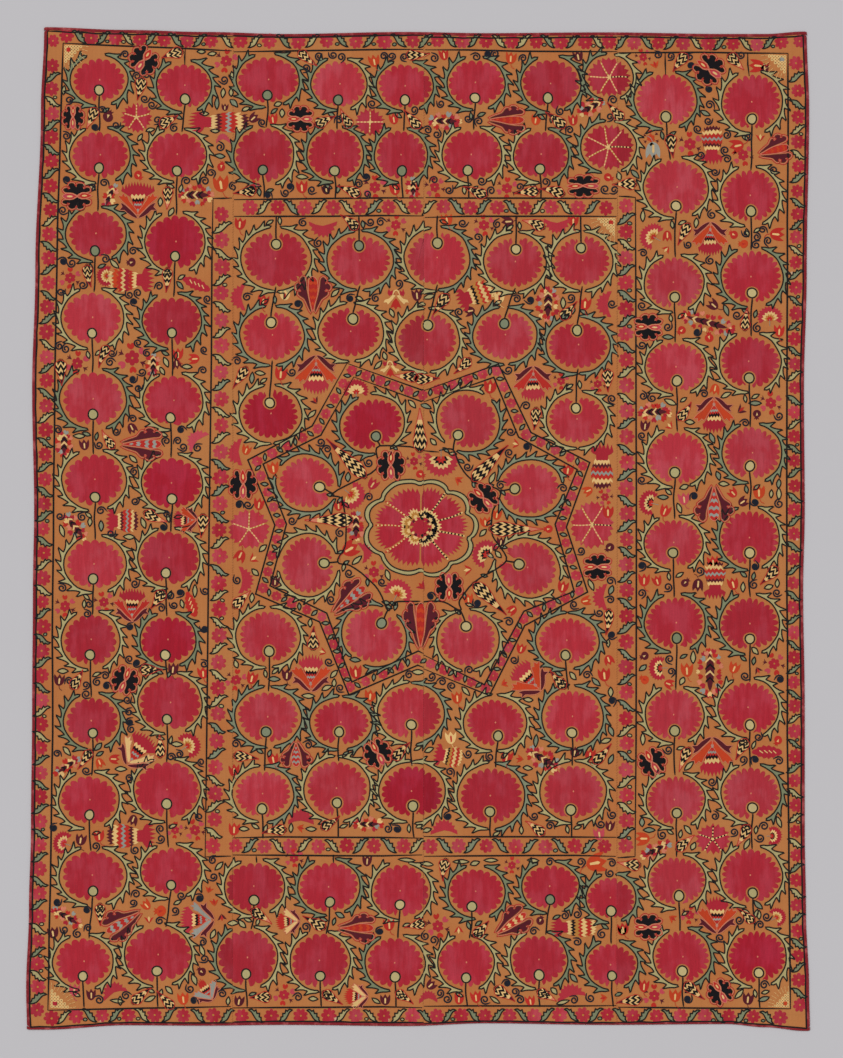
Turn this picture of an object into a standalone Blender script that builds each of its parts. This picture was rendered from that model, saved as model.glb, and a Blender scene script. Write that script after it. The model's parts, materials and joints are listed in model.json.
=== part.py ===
"""An embroidered suzani: four loom-width panels sewn side by side, and a narrow bound edge.

Metres, +Z up. The cloth lies flat, its underside at z = 0, its top edge towards +Y and its
left edge towards -X, with the middle of its outline over the origin.
"""
import math

import bmesh
import bpy

CLOTH_THICK = 0.0020
BINDING_THICK = 0.0030
BINDING_WIDE = 0.0075
GAP = 0.0003
CORNER_ROUND = 0.0060
ROWS = 36
COLUMNS = 8
MM = 0.001

# how far out the side edges stand, going down the cloth, in mm
SIDES = (
    # (up, left, right)
    (1245, -935, 972),
    (1048, -943, 978),
    (648, -957, 972),
    (348, -965, 965),
    (48, -960, 967),
    (-152, -963, 963),
    (-452, -965, 967),
    (-752, -968, 967),
    (-952, -973, 970),
    (-1152, -980, 978),
    (-1250, -978, 980),
)

# how high the top edge and how low the bottom edge stand, going across, in mm
ENDS = (
    # (across, top, bottom)
    (-935, 1255, -1252),
    (-730, 1248, -1241),
    (-530, 1243, -1242),
    (-330, 1238, -1240),
    (-30, 1243, -1243),
    (170, 1240, -1236),
    (470, 1242, -1240),
    (770, 1238, -1238),
    (870, 1238, -1246),
    (965, 1244, -1255),
)

# where the three seams run, at the top, the middle and the bottom, in mm
SEAMS = (
    # (name, top, middle, bottom)
    ("first", -462, -463, -464),
    ("second", 15, 14, 13),
    ("third", 499, 498, 497),
)

CLOTH_RED_ORANGE = (0.49, 0.23, 0.07, 1.0)
BINDING_CRIMSON = (0.27, 0.018, 0.045, 1.0)


def eased(table, at, column):
    """Read a column of a table between its rows, easing from one row to the next."""
    rows = sorted(table, key=lambda row: row[0])
    if at <= rows[0][0]:
        return rows[0][column] * MM
    for low, high in zip(rows, rows[1:]):
        if at <= high[0]:
            part = (at - low[0]) / (high[0] - low[0])
            part = (1 - math.cos(math.pi * part)) / 2
            return (low[column] + (high[column] - low[column]) * part) * MM
    return rows[-1][column] * MM


def left_edge(y):
    return eased(SIDES, y / MM, 1)


def right_edge(y):
    return eased(SIDES, y / MM, 2)


def top_edge(x):
    return eased(ENDS, x / MM, 1)


def bottom_edge(x):
    return eased(ENDS, x / MM, 2)


def seam_line(index, y):
    name, top, middle, bottom = SEAMS[index]
    line = ((1250, top), (0, middle), (-1250, bottom))
    return eased(line, y / MM, 1)


def material(name, colour, roughness):
    made = bpy.data.materials.new(name)
    made.use_nodes = True
    shader = made.node_tree.nodes["Principled BSDF"]
    shader.inputs["Base Color"].default_value = colour
    shader.inputs["Roughness"].default_value = roughness
    return made


def finish_piece(name, shape, paint):
    bmesh.ops.recalc_face_normals(shape, faces=shape.faces)
    mesh = bpy.data.meshes.new(name)
    shape.to_mesh(mesh)
    shape.free()
    mesh.materials.append(paint)
    piece = bpy.data.objects.new(name, mesh)
    bpy.context.scene.collection.objects.link(piece)
    return piece


def grid_slab(name, points, thick, paint):
    """A flat slab over a grid of points, given row by row as (x, y)."""
    shape = bmesh.new()
    under = [[shape.verts.new((x, y, 0.0)) for x, y in row] for row in points]
    over = [[shape.verts.new((x, y, thick)) for x, y in row] for row in points]
    last_row = len(points) - 1
    last_column = len(points[0]) - 1
    for r in range(last_row):
        for c in range(last_column):
            for layer in (under, over):
                shape.faces.new(
                    (layer[r][c], layer[r][c + 1], layer[r + 1][c + 1], layer[r + 1][c])
                )
    rim = [(0, c) for c in range(last_column)]
    rim += [(r, last_column) for r in range(last_row)]
    rim += [(last_row, c) for c in range(last_column, 0, -1)]
    rim += [(r, 0) for r in range(last_row, 0, -1)]
    for (r, c), (r2, c2) in zip(rim, rim[1:] + rim[:1]):
        shape.faces.new((under[r][c], under[r2][c2], over[r2][c2], over[r][c]))
    return finish_piece(name, shape, paint)


def panel(name, left_side, right_side, paint):
    """One loom width, from its left side to its right side."""
    inset = BINDING_WIDE + GAP
    points = []
    for r in range(ROWS + 1):
        down = r / ROWS
        guess = 1.25 * (1 - 2 * down)
        row = []
        for c in range(COLUMNS + 1):
            across = c / COLUMNS
            y = guess
            for step in range(3):
                x = left_side(y) * (1 - across) + right_side(y) * across
                high = top_edge(x) - inset
                low = bottom_edge(x) + inset
                y = high + (low - high) * down
            row.append((x, y))
        points.append(row)
    return grid_slab(name, points, CLOTH_THICK, paint)


# the folded tape across its width: how far in from the outer edge, and how high
TAPE = (
    # (in, up), as shares of the width and of the thickness
    (0.06, 0.0),
    (1.0, 0.0),
    (1.0, 0.72),
    (0.84, 1.0),
    (0.24, 1.0),
    (0.06, 0.86),
    (0.0, 0.5),
)


def tape(name, stations, paint):
    """A folded edge tape. Each station is its outer point and the point inwards from it."""
    shape = bmesh.new()
    rings = []
    for (ox, oy), (ix, iy) in stations:
        ring = []
        for part, up in TAPE:
            spot = (ox + (ix - ox) * part, oy + (iy - oy) * part, up * BINDING_THICK)
            ring.append(shape.verts.new(spot))
        rings.append(ring)
    for ring, following in zip(rings, rings[1:]):
        for i in range(len(TAPE)):
            j = (i + 1) % len(TAPE)
            shape.faces.new((ring[i], ring[j], following[j], following[i]))
    shape.faces.new(rings[0])
    shape.faces.new(rings[-1])
    return finish_piece(name, shape, paint)


def side_tape(name, edge, inwards, paint):
    stations = []
    x = edge(1.24)
    start = top_edge(x) - BINDING_WIDE - GAP
    x = edge(-1.24)
    end = bottom_edge(x) + BINDING_WIDE + GAP
    for step in range(ROWS + 1):
        y = start + (end - start) * step / ROWS
        x = edge(y)
        stations.append(((x, y), (x + inwards * BINDING_WIDE, y)))
    return tape(name, stations, paint)


def end_tape(name, edge, inwards, paint):
    """The top or bottom tape, which runs on round both corners."""
    stations = []
    height = edge(0.0)
    start = left_edge(height)
    end = right_edge(height)
    spots = [CORNER_ROUND * share for share in (0.0, 0.15, 0.4, 0.75, 1.0)]
    middle = [CORNER_ROUND + (end - start - 2 * CORNER_ROUND) * i / 32 for i in range(1, 32)]
    spots = spots + middle + [end - start - spot for spot in reversed(spots)]
    for spot in spots:
        x = start + spot
        near = min(spot, end - start - spot, CORNER_ROUND)
        cut = CORNER_ROUND - math.sqrt(CORNER_ROUND**2 - (CORNER_ROUND - near) ** 2)
        y = edge(x)
        stations.append(((x, y + inwards * cut), (x, y + inwards * BINDING_WIDE)))
    return tape(name, stations, paint)


def main():
    for thing in list(bpy.data.objects):
        bpy.data.objects.remove(thing, do_unlink=True)

    cloth = material("ground_cloth", CLOTH_RED_ORANGE, 0.9)
    red_tape = material("edge_binding", BINDING_CRIMSON, 0.85)

    def sewn(index, side):
        return lambda y: seam_line(index, y) + side * GAP / 2

    def tucked(edge, side):
        return lambda y: edge(y) + side * (BINDING_WIDE + GAP)

    panel("panel_1", tucked(left_edge, 1), sewn(0, -1), cloth)
    panel("panel_2", sewn(0, 1), sewn(1, -1), cloth)
    panel("panel_3", sewn(1, 1), sewn(2, -1), cloth)
    panel("panel_4", sewn(2, 1), tucked(right_edge, -1), cloth)

    side_tape("binding_left", left_edge, 1, red_tape)
    side_tape("binding_right", right_edge, -1, red_tape)
    end_tape("binding_top", top_edge, -1, red_tape)
    end_tape("binding_bottom", bottom_edge, 1, red_tape)


main()
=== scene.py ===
import json
import math
import random

import bmesh
import bpy
import numpy as np
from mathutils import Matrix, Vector

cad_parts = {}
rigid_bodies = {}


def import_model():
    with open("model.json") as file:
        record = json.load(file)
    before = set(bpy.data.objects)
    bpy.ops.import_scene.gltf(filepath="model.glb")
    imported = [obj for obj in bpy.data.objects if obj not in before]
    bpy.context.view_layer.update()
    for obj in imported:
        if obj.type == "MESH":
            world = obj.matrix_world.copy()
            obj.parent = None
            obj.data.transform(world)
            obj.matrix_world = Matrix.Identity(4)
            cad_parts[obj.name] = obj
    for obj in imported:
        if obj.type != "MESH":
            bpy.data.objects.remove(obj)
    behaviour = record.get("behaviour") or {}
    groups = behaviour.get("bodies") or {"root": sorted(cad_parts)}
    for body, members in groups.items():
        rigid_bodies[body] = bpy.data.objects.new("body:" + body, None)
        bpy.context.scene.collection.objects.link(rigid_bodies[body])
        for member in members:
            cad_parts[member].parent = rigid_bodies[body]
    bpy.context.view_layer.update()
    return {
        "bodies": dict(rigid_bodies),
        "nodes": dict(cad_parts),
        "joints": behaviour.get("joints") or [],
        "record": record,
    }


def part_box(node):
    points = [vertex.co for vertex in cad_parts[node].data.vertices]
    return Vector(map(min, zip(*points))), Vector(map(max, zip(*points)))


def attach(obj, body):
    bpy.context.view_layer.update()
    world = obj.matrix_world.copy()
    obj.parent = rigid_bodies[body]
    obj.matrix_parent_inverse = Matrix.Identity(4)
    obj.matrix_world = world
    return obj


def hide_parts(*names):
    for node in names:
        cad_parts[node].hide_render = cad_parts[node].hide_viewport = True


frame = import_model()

chance = random.Random(7)

# sizes
MM = 0.001
SQUARE = 2.5 * MM          # one square of the working chart
CHART_WIDE = 843
CHART_TALL = 1058
CHART_MIDDLE = (418, 529)  # the square that lies over the origin
HALF_TALL = 1.25
CLOTH_TOP = 2.0 * MM
TAPE_WIDE = 7.5 * MM
TAPE_THICK = 3.0 * MM
TAPE_STEP = 3.0 * MM       # the pitch of the points along its path
TAPE_STITCH = 12.0 * MM
GAP = 0.3 * MM             # between neighbours
TAPE_INSET = TAPE_WIDE + GAP
CORNER_ROUND = 6.0 * MM
SUNK = 0.3 * MM            # how far the needlework reaches down into the cloth

# how far out the side edges stand, going down the cloth, in mm
SIDES = (
    # (up, left, right)
    (1245, -935, 972),
    (1048, -943, 978),
    (648, -957, 972),
    (348, -965, 965),
    (48, -960, 967),
    (-152, -963, 963),
    (-452, -965, 967),
    (-752, -968, 967),
    (-952, -973, 970),
    (-1152, -980, 978),
    (-1250, -978, 980),
)

# how high the top edge and how low the bottom edge stand, going across, in mm
ENDS = (
    # (across, top, bottom)
    (-935, 1255, -1252),
    (-730, 1248, -1241),
    (-530, 1243, -1242),
    (-330, 1238, -1240),
    (-30, 1243, -1243),
    (170, 1240, -1236),
    (470, 1242, -1240),
    (770, 1238, -1238),
    (870, 1238, -1246),
    (965, 1244, -1255),
)

# where the three seams run, at the top, the middle and the bottom, in mm
SEAMS = (
    # (top, middle, bottom)
    (-462, -463, -464),
    (15, 14, 13),
    (499, 498, 497),
)

# silk and cotton colours, as red, green and blue from 0 to 255
DYES = {
    "crimson": (164, 35, 48),
    "deep crimson": (160, 24, 42),
    "rose": (172, 46, 57),
    "faded rose": (170, 42, 53),
    "pink": (184, 66, 78),
    "pale pink": (203, 120, 92),
    "red": (178, 42, 34),
    "orange": (188, 62, 30),
    "maroon": (84, 24, 34),
    "black": (18, 14, 17),
    "ink": (22, 18, 18),
    "navy": (24, 27, 38),
    "cream": (218, 178, 116),
    "ochre": (180, 122, 56),
    "sage": (170, 158, 110),
    "pale sage": (186, 168, 118),
    "teal": (126, 132, 106),
    "green": (122, 128, 98),
    "grey": (146, 144, 134),
    "seam": (140, 84, 46),
}


def eased(table, at, column):
    """Read a column of a table between its rows, easing from one row to the next."""
    rows = sorted(table, key=lambda row: row[0])
    if at <= rows[0][0]:
        return rows[0][column] * MM
    for low, high in zip(rows, rows[1:]):
        if at <= high[0]:
            part = (at - low[0]) / (high[0] - low[0])
            part = (1 - math.cos(math.pi * part)) / 2
            return (low[column] + (high[column] - low[column]) * part) * MM
    return rows[-1][column] * MM


def left_edge(y):
    return eased(SIDES, y / MM, 1)


def right_edge(y):
    return eased(SIDES, y / MM, 2)


def top_edge(x):
    return eased(ENDS, x / MM, 1)


def bottom_edge(x):
    return eased(ENDS, x / MM, 2)


def seam_line(index, y):
    top, middle, bottom = SEAMS[index]
    return eased(((1250, top), (0, middle), (-1250, bottom)), y / MM, 1)


def on_cloth(points):
    """Chart squares, counted across and down, as metres on the cloth."""
    points = np.asarray(points, float)
    return np.column_stack(
        (
            (points[:, 0] - CHART_MIDDLE[0]) * SQUARE,
            (CHART_MIDDLE[1] - points[:, 1]) * SQUARE,
        )
    )


def linear(colour):
    """A colour from 0 to 255 as the shaders count it."""
    return tuple(
        c / 12.92 if c <= 0.04045 else ((c + 0.055) / 1.055) ** 2.4
        for c in (part / 255 for part in colour)
    )


# shader recipes
class Value:
    """A number in a material, worked with as a number."""

    def __init__(self, recipe, socket):
        self.recipe = recipe
        self.socket = socket

    def maths(self, operation, *numbers):
        return self.recipe.node("Math", {"operation": operation}, dict(enumerate(numbers)))

    def __add__(self, other):
        return self.maths("ADD", self, other)

    def __radd__(self, other):
        return self.maths("ADD", other, self)

    def __sub__(self, other):
        return self.maths("SUBTRACT", self, other)

    def __rsub__(self, other):
        return self.maths("SUBTRACT", other, self)

    def __mul__(self, other):
        return self.maths("MULTIPLY", self, other)

    def __rmul__(self, other):
        return self.maths("MULTIPLY", other, self)

    def sine(self):
        return self.maths("SINE", self)

    def most(self, other):
        return self.maths("MAXIMUM", self, other)

    def size(self):
        return self.maths("ABSOLUTE", self)

    def between(self, low, high):
        """0 below low, 1 above high, and even between them."""
        settings = {"interpolation_type": "SMOOTHSTEP"}
        return self.recipe.node("MapRange", settings, {0: self, 1: low, 2: high})


class Recipe:
    """The nodes of one material."""

    def __init__(self, name):
        self.material = bpy.data.materials.new(name)
        self.material.use_nodes = True
        self.tree = self.material.node_tree
        self.shader = self.tree.nodes["Principled BSDF"]

    def node(self, kind, settings=None, inputs=None, output=0):
        made = self.tree.nodes.new("ShaderNode" + kind)
        for name, value in (settings or {}).items():
            setattr(made, name, value)
        for name, value in (inputs or {}).items():
            self.feed(made.inputs[name], value)
        return Value(self, made.outputs[output])

    def feed(self, socket, value):
        if isinstance(value, Value):
            self.tree.links.new(value.socket, socket)
        else:
            socket.default_value = value

    def place(self):
        return self.node("TexCoord", output="Object")

    def noise(self, x, y, detail, rough):
        """Uneven patches, x to a metre across and y to a metre down."""
        stretched = self.node("Mapping", {}, {"Vector": self.place(), "Scale": (x, y, 1.0)})
        inputs = {"Vector": stretched, "Scale": 1.0, "Detail": detail, "Roughness": rough}
        return self.node("TexNoise", {}, inputs)

    def across_and_down(self, vector):
        split = self.node("SeparateXYZ", {}, {"Vector": vector})
        node = split.socket.node
        return Value(self, node.outputs[0]), Value(self, node.outputs[1])

    def mixed(self, part, one, other):
        settings = {"data_type": "RGBA", "clamp_factor": True}
        inputs = {"Factor": part, 6: one, 7: other}
        return self.node("Mix", settings, inputs, output=2)

    def toned(self, colour, tone):
        """A colour made lighter or darker by a number."""
        inputs = {0: colour, "Scale": tone}
        return self.node("VectorMath", {"operation": "SCALE"}, inputs)

    def bump(self, height, distance, strength):
        inputs = {"Height": height, "Distance": distance, "Strength": strength}
        return self.node("Bump", {}, inputs)

    def finish(self, colour, roughness, normal=None, sheen=0.1, shine=0.2):
        self.feed(self.shader.inputs["Base Color"], colour)
        self.feed(self.shader.inputs["Roughness"], roughness)
        if normal is not None:
            self.feed(self.shader.inputs["Normal"], normal)
        self.shader.inputs["Sheen Weight"].default_value = sheen
        self.shader.inputs["Sheen Roughness"].default_value = 0.6
        self.shader.inputs["Specular IOR Level"].default_value = shine
        return self.material


WORN_SPOTS = (
    # (across, down, radius) on the chart
    (47, 651, 3.0), (792, 273, 3.0), (101, 1019, 5.0), (336, 1019, 4.0), (387, 1020, 4.0),
    (415, 1020, 3.5), (794, 771, 3.0), (797, 539, 3.0), (424.5, 280, 3.0), (412, 764, 2.6),
)


def ground_material(name, colour, warm):
    """Hand-loomed cotton dyed a camel orange, worn and stained unevenly."""
    r = Recipe(name)
    x, y = r.across_and_down(r.place())
    warp = (x * (2 * math.pi / (0.9 * MM))).sine()
    weft = (y * (2 * math.pi / (1.1 * MM))).sine()
    weave = warp.most(weft)
    slubs = r.noise(170, 8, 3.0, 0.6)
    slubs_across = r.noise(9, 210, 3.0, 0.6)
    clouds = r.noise(5, 3.5, 4.0, 0.6)
    mottle = r.noise(260, 260, 3.0, 0.65)
    tone = 0.66 + slubs * 0.16 + slubs_across * 0.12 + clouds * 0.22 + mottle * 0.18
    base = r.mixed(clouds.between(0.35, 0.7), (*linear(colour), 1), (*linear(warm), 1))
    stain = r.noise(14, 9, 3.0, 0.7).between(0.62, 0.85) * 0.35
    base = r.mixed(stain, base, (*linear((128, 84, 56)), 1))
    base = r.toned(base, tone)
    worn = None
    for across, down, radius in WORN_SPOTS:
        (spot_x, spot_y), = on_cloth([(across, down)])
        away = r.node(
            "VectorMath",
            {"operation": "DISTANCE"},
            {0: r.place(), 1: (spot_x, spot_y, CLOTH_TOP)},
            output="Value",
        )
        here = 1 - (away + mottle * 4 * MM).between(radius * SQUARE * 0.4, radius * SQUARE)
        worn = here if worn is None else worn.most(here)
    base = r.mixed(worn * 0.8, base, (*linear((205, 178, 150)), 1))
    height = weave * 0.6 + slubs * 1.2 + mottle * 0.8
    return r.finish(base, 0.9, r.bump(height, 0.12 * MM, 0.6), sheen=0.05, shine=0.1)


def silk_material(name, streaks, thread, fading):
    """Couched silk: its dye is on the mesh, and the laid threads run down the cloth."""
    r = Recipe(name)
    dye = r.node("Attribute", {"attribute_name": "dye"}, {}, output="Color")
    x, y = r.across_and_down(r.place())
    laid = (x * (2 * math.pi / thread)).sine()
    ties = ((x * 0.55 + y) * (2 * math.pi / (2.6 * MM))).sine()
    runs = r.noise(230, 26, 3.0, 0.6)
    broad = r.noise(75, 11, 2.0, 0.5)
    speckle = r.noise(420, 300, 2.0, 0.6)
    tone = 1.0 + (runs - 0.5) * streaks + (broad - 0.5) * streaks * 0.6 + (speckle - 0.5) * 0.4
    # light has faded the reds towards pink, in patches that follow the threads
    rosy = r.node("VectorMath", {"operation": "MULTIPLY"}, {0: dye, 1: (1.14, 2.7, 2.35)})
    patches = r.noise(17, 11, 3.0, 0.6) + (broad - 0.5) * 0.35
    colour = r.toned(r.mixed(patches.between(0.42, 0.66) * fading, dye, rosy), tone)
    height = laid * 0.5 + ties * 0.25 + speckle * 0.8
    roughness = 0.62 + (runs - 0.5) * 0.3
    return r.finish(colour, roughness, r.bump(height, 0.1 * MM, 0.7), sheen=0.03, shine=0.08)


def chain_stitch_material(name):
    """Lines of chain stitch: the mesh says how far along the line each point is."""
    r = Recipe(name)
    dye = r.node("Attribute", {"attribute_name": "dye"}, {}, output="Color")
    along_and_across = r.node("Attribute", {"attribute_name": "way"}, {}, output="Vector")
    along, across = r.across_and_down(along_and_across)
    link = (along * (math.pi / (2.4 * MM)) + across.size() * 1.2).sine().size()
    speckle = r.noise(420, 420, 2.0, 0.6)
    # painted shade: the colour darkens in the dips between the chain's links, following the same wave as the
    # bump
    tone = 0.88 + link * 0.14 + (speckle - 0.5) * 0.3
    height = link * 0.8 + speckle * 0.5
    bumped = r.bump(height, 0.2 * MM, 0.7)
    return r.finish(r.toned(dye, tone), 0.7, bumped, sheen=0.05, shine=0.12)


def tape_material(name, colour, light):
    """A narrow woven tape, worn paler along its fold."""
    r = Recipe(name)
    x, y = r.across_and_down(r.place())
    weave = ((x + y) * (2 * math.pi / (0.8 * MM))).sine()
    counter = ((x - y) * (2 * math.pi / (0.8 * MM))).sine()
    wear = r.noise(38, 30, 3.0, 0.6)
    speckle = r.noise(330, 330, 2.0, 0.6)
    base = r.mixed(wear.between(0.48, 0.72) * 0.8, (*linear(colour), 1), (*linear(light), 1))
    tone = 0.78 + speckle * 0.44
    height = weave.most(counter) * 0.5 + speckle + wear * 0.6
    bumped = r.bump(height, 0.15 * MM, 0.7)
    return r.finish(r.toned(base, tone), 0.85, bumped, sheen=0.08, shine=0.12)


# making pieces
def rest_selection():
    if bpy.context.object and bpy.context.object.mode != "OBJECT":
        bpy.ops.object.mode_set(mode="OBJECT")
    bpy.ops.object.select_all(action="DESELECT")


def take_up(piece):
    """Select one piece and nothing else."""
    rest_selection()
    piece.select_set(True)
    bpy.context.view_layer.objects.active = piece


def keep_place_in_mesh(piece):
    take_up(piece)
    bpy.ops.object.transform_apply(location=True, rotation=True, scale=True)


def new_piece(name, places, faces):
    mesh = bpy.data.meshes.new(name)
    mesh.from_pydata(places.tolist(), [], faces)
    piece = bpy.data.objects.new(name, mesh)
    bpy.context.scene.collection.objects.link(piece)
    return piece


def corner_places(mesh):
    places = np.empty(len(mesh.vertices) * 3)
    mesh.vertices.foreach_get("co", places)
    return places.reshape(-1, 3)


def flat_map(piece):
    """A map of the whole piece, seen from above."""
    mesh = piece.data
    uv = mesh.uv_layers.get("OFBake") or mesh.uv_layers.new(name="OFBake")
    places = corner_places(mesh)
    corners = np.empty(len(mesh.loops), int)
    mesh.loops.foreach_get("vertex_index", corners)
    low = places.min(axis=0)
    high = places.max(axis=0)
    spread = (places[:, :2] - low[:2]) / (high[:2] - low[:2]) * 0.996 + 0.002
    uv.data.foreach_set("uv", spread[corners].ravel())


def dress(piece, material):
    piece.data.materials.clear()
    piece.data.materials.append(material)
    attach(piece, "root")
    return piece


def cloth_panel(name, left_side, right_side, material):
    """One loom width: a fine grid drawn to its outline, given thickness downwards, its top rims rounded."""
    rest_selection()
    bpy.ops.mesh.primitive_grid_add(x_subdivisions=26, y_subdivisions=120, size=2.0)
    piece = bpy.context.object
    piece.name = name
    piece.data.name = name
    mesh = piece.data
    places = corner_places(mesh)
    for place in places:
        across = (place[0] + 1) / 2
        down = (1 - place[1]) / 2
        # crowd the grid's columns towards the two long edges
        across = across - math.sin(2 * math.pi * across) * 0.14
        y = HALF_TALL * (1 - 2 * down)
        # the end edges wander, so the place down is found in a few rounds
        for attempt in range(3):
            x = left_side(y) * (1 - across) + right_side(y) * across
            high = top_edge(x) - TAPE_INSET
            low = bottom_edge(x) + TAPE_INSET
            y = high + (low - high) * down
        place[0] = x
        place[1] = y
        place[2] = CLOTH_TOP
    mesh.vertices.foreach_set("co", places.ravel())
    mesh.update()
    # thickness, downwards, then the rims softened
    thick = piece.modifiers.new("thickness", "SOLIDIFY")
    thick.thickness = CLOTH_TOP
    thick.offset = -1.0
    take_up(piece)
    bpy.ops.object.modifier_apply(modifier=thick.name)
    bpy.ops.object.mode_set(mode="EDIT")
    shape = bmesh.from_edit_mesh(piece.data)
    for edge in shape.edges:
        faces = edge.link_faces
        rim = len(faces) == 2 and abs(faces[0].normal.z - faces[1].normal.z) > 0.5
        edge.select_set(rim and edge.verts[0].co.z > CLOTH_TOP * 0.9)
    bmesh.update_edit_mesh(piece.data)
    bpy.ops.mesh.bevel(offset=0.8 * MM, segments=2, profile=0.5)
    bpy.ops.mesh.select_all(action="DESELECT")
    bpy.ops.object.mode_set(mode="OBJECT")
    bpy.ops.object.shade_smooth_by_angle(angle=math.radians(40))
    flat_map(piece)
    return dress(piece, material)


# needlework
LAYERS = {
    # name: (height over the cloth, width of the softened shoulder), in mm
    "rosettes": (0.50, 0.25),
    "border_flowers": (0.50, 0.20),
    "leaves": (0.52, 0.0),
    "motifs": (0.54, 0.18),
    "eyes": (0.78, 0.0),
    "details": (0.80, 0.0),
    "wreath_lines": (1.00, 0.0),
    "lines": (1.05, 0.0),
}
work = []


class Spot:
    """A place on the chart where a motif is worked, turned anticlockwise and sized."""

    def __init__(self, across, down, turn=0.0, size=1.0, mirror=False):
        self.across = across
        self.down = down
        self.turn = math.radians(turn)
        self.size = size
        self.side = -1.0 if mirror else 1.0
        self.worked = 0

    def next_layer(self):
        self.worked += 1
        return self.worked

    def at(self, points):
        points = np.asarray(points, float) * (self.size * self.side, self.size)
        c = math.cos(self.turn)
        s = math.sin(self.turn)
        return np.column_stack(
            (
                self.across + points[:, 0] * c - points[:, 1] * s,
                self.down - points[:, 0] * s - points[:, 1] * c,
            )
        )


class WholeChart(Spot):
    """The chart itself, for lines given in its own squares."""

    def next_layer(self):
        return 0

    def at(self, points):
        return np.asarray(points, float)


CHART = WholeChart(0, 0)


def rounded(points, steps=3, closed=True):
    """The smooth line through points."""
    points = np.asarray(points, float)
    count = len(points)
    found = []
    for i in range(count if closed else count - 1):
        before, here, there, after = (
            points[(i + k) % count if closed else min(max(i + k, 0), count - 1)] for k in (-1, 0, 1, 2)
        )
        for step in range(steps):
            t = step / steps
            found.append(
                0.5
                * (
                    2 * here
                    + (there - before) * t
                    + (2 * before - 5 * here + 4 * there - after) * t * t
                    + (3 * here - before - 3 * there + after) * t**3
                )
            )
    if not closed:
        found.append(points[-1])
    return np.array(found)


def fill(spot, points, dye, layer="motifs", soft=0):
    if soft:
        points = rounded(points, soft)
    work.append((layer, spot.at(points), dye, None, True, spot.next_layer()))


def line(spot, points, dye="ink", width=1.0, closed=False, soft=0, layer="lines"):
    if soft:
        points = rounded(points, soft, closed)
    work.append((layer, spot.at(points), dye, width, closed, spot.next_layer()))


def ring(radius_x, radius_y=None, count=16, across=0.0, up=0.0):
    radius_y = radius_x if radius_y is None else radius_y
    turns = np.arange(count) * 2 * math.pi / count
    return np.column_stack((across + radius_x * np.cos(turns), up + radius_y * np.sin(turns)))


def petals(radius, depth, count, per):
    """A round flower's outline, cut into petals."""
    u = np.arange(count * per) / per
    reach = radius - depth * (1 - np.abs(np.sin(math.pi * u)) ** 0.7)
    turns = u / count * 2 * math.pi
    return np.column_stack((reach * np.cos(turns), reach * np.sin(turns)))


def both_sides(half):
    """A shape from its right half, drawn from one end of its middle line to the other."""
    return [*half, *((-a, b) for a, b in reversed(half) if a)]


# rosettes and their wreaths
TOOTH = (0.0, 0.07, 0.18, 0.34, 0.5, 0.66, 0.82, 0.93)


def rosette_outline(wide, tall, teeth, depth, eye, phase, halo):
    """Toothed round, open round its eye, which lies towards its stem, downwards."""
    ex, ey = eye
    points = []
    spots = [k + part for k in range(teeth) for part in TOOTH] + [teeth]
    for spot in spots:
        angle = -math.pi / 2 + spot / teeth * 2 * math.pi
        lobe = abs(math.sin(math.pi * spot)) ** 0.62
        swell = 1 + 0.018 * math.sin(2 * angle + phase) + 0.014 * math.sin(3 * angle + 2 * phase)
        cut = depth * (1 + 0.25 * math.sin(5 * angle + phase))
        reach_x = wide / 2 * swell - cut * (1 - lobe)
        reach_y = tall / 2 * swell - cut * (1 - lobe)
        across = reach_x * math.cos(angle)
        up = reach_y * math.sin(angle)
        if up < 0 and abs(across - ex) < halo * 0.5 + 1.0:
            continue
        if math.hypot(across - ex, up - ey) < halo + 0.6:
            continue
        points.append((across, up, (angle - math.atan2(ey - tall * 0.4, ex)) % (2 * math.pi)))
    points = [point[:2] for point in sorted(points, key=lambda point: point[2])]
    throat = halo * 0.5 - 0.4
    neck = max(ey - halo - 0.5, 1.5 - tall / 2)
    points.append((ex - throat, neck))
    for k in range(13):
        angle = math.radians(236 - k * 292 / 12)
        up = ey + halo * math.sin(angle)
        points.append((ex + halo * math.cos(angle), max(up, neck + 0.4)))
    points.append((ex + throat, neck))
    return points


def branch(reach_x, reach_y, start, end, thorns, out=5.6, band=2.9):
    """A thorny branch bent round a rosette, growing from one angle to another."""
    span = end - start

    def spot(part, away):
        angle = math.radians(start + span * part)
        nx = math.cos(angle) / reach_x
        ny = math.sin(angle) / reach_y
        size = math.hypot(nx, ny)
        return (
            reach_x * math.cos(angle) + nx / size * away,
            reach_y * math.sin(angle) + ny / size * away,
        )

    inner = [spot(k / (2 * thorns), 0.0) for k in range(2 * thorns + 1)]
    outer = [spot(-0.012, band * 0.5)]
    pitch = 0.93 / thorns
    for k in range(thorns):
        at = 0.03 + k * pitch
        reach = out * chance.uniform(0.8, 1.12)
        outer.append(spot(at, band * 0.94))
        outer.append(spot(at + 0.34 * pitch, band + 0.5))
        outer.append(spot(at + 0.64 * pitch, band + 0.38 * reach))
        outer.append(spot(at + 0.99 * pitch, band + reach * 0.98))
        outer.append(spot(at + 1.07 * pitch, band + reach))
        outer.append(spot(at + 0.97 * pitch, band + 0.42 * reach))
        outer.append(spot(at + 0.92 * pitch, band + 0.1))
    outer.append(spot(0.985, band * 0.95))
    outer.append(spot(1.015, band * 0.5))
    return inner + outer[::-1]


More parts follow.
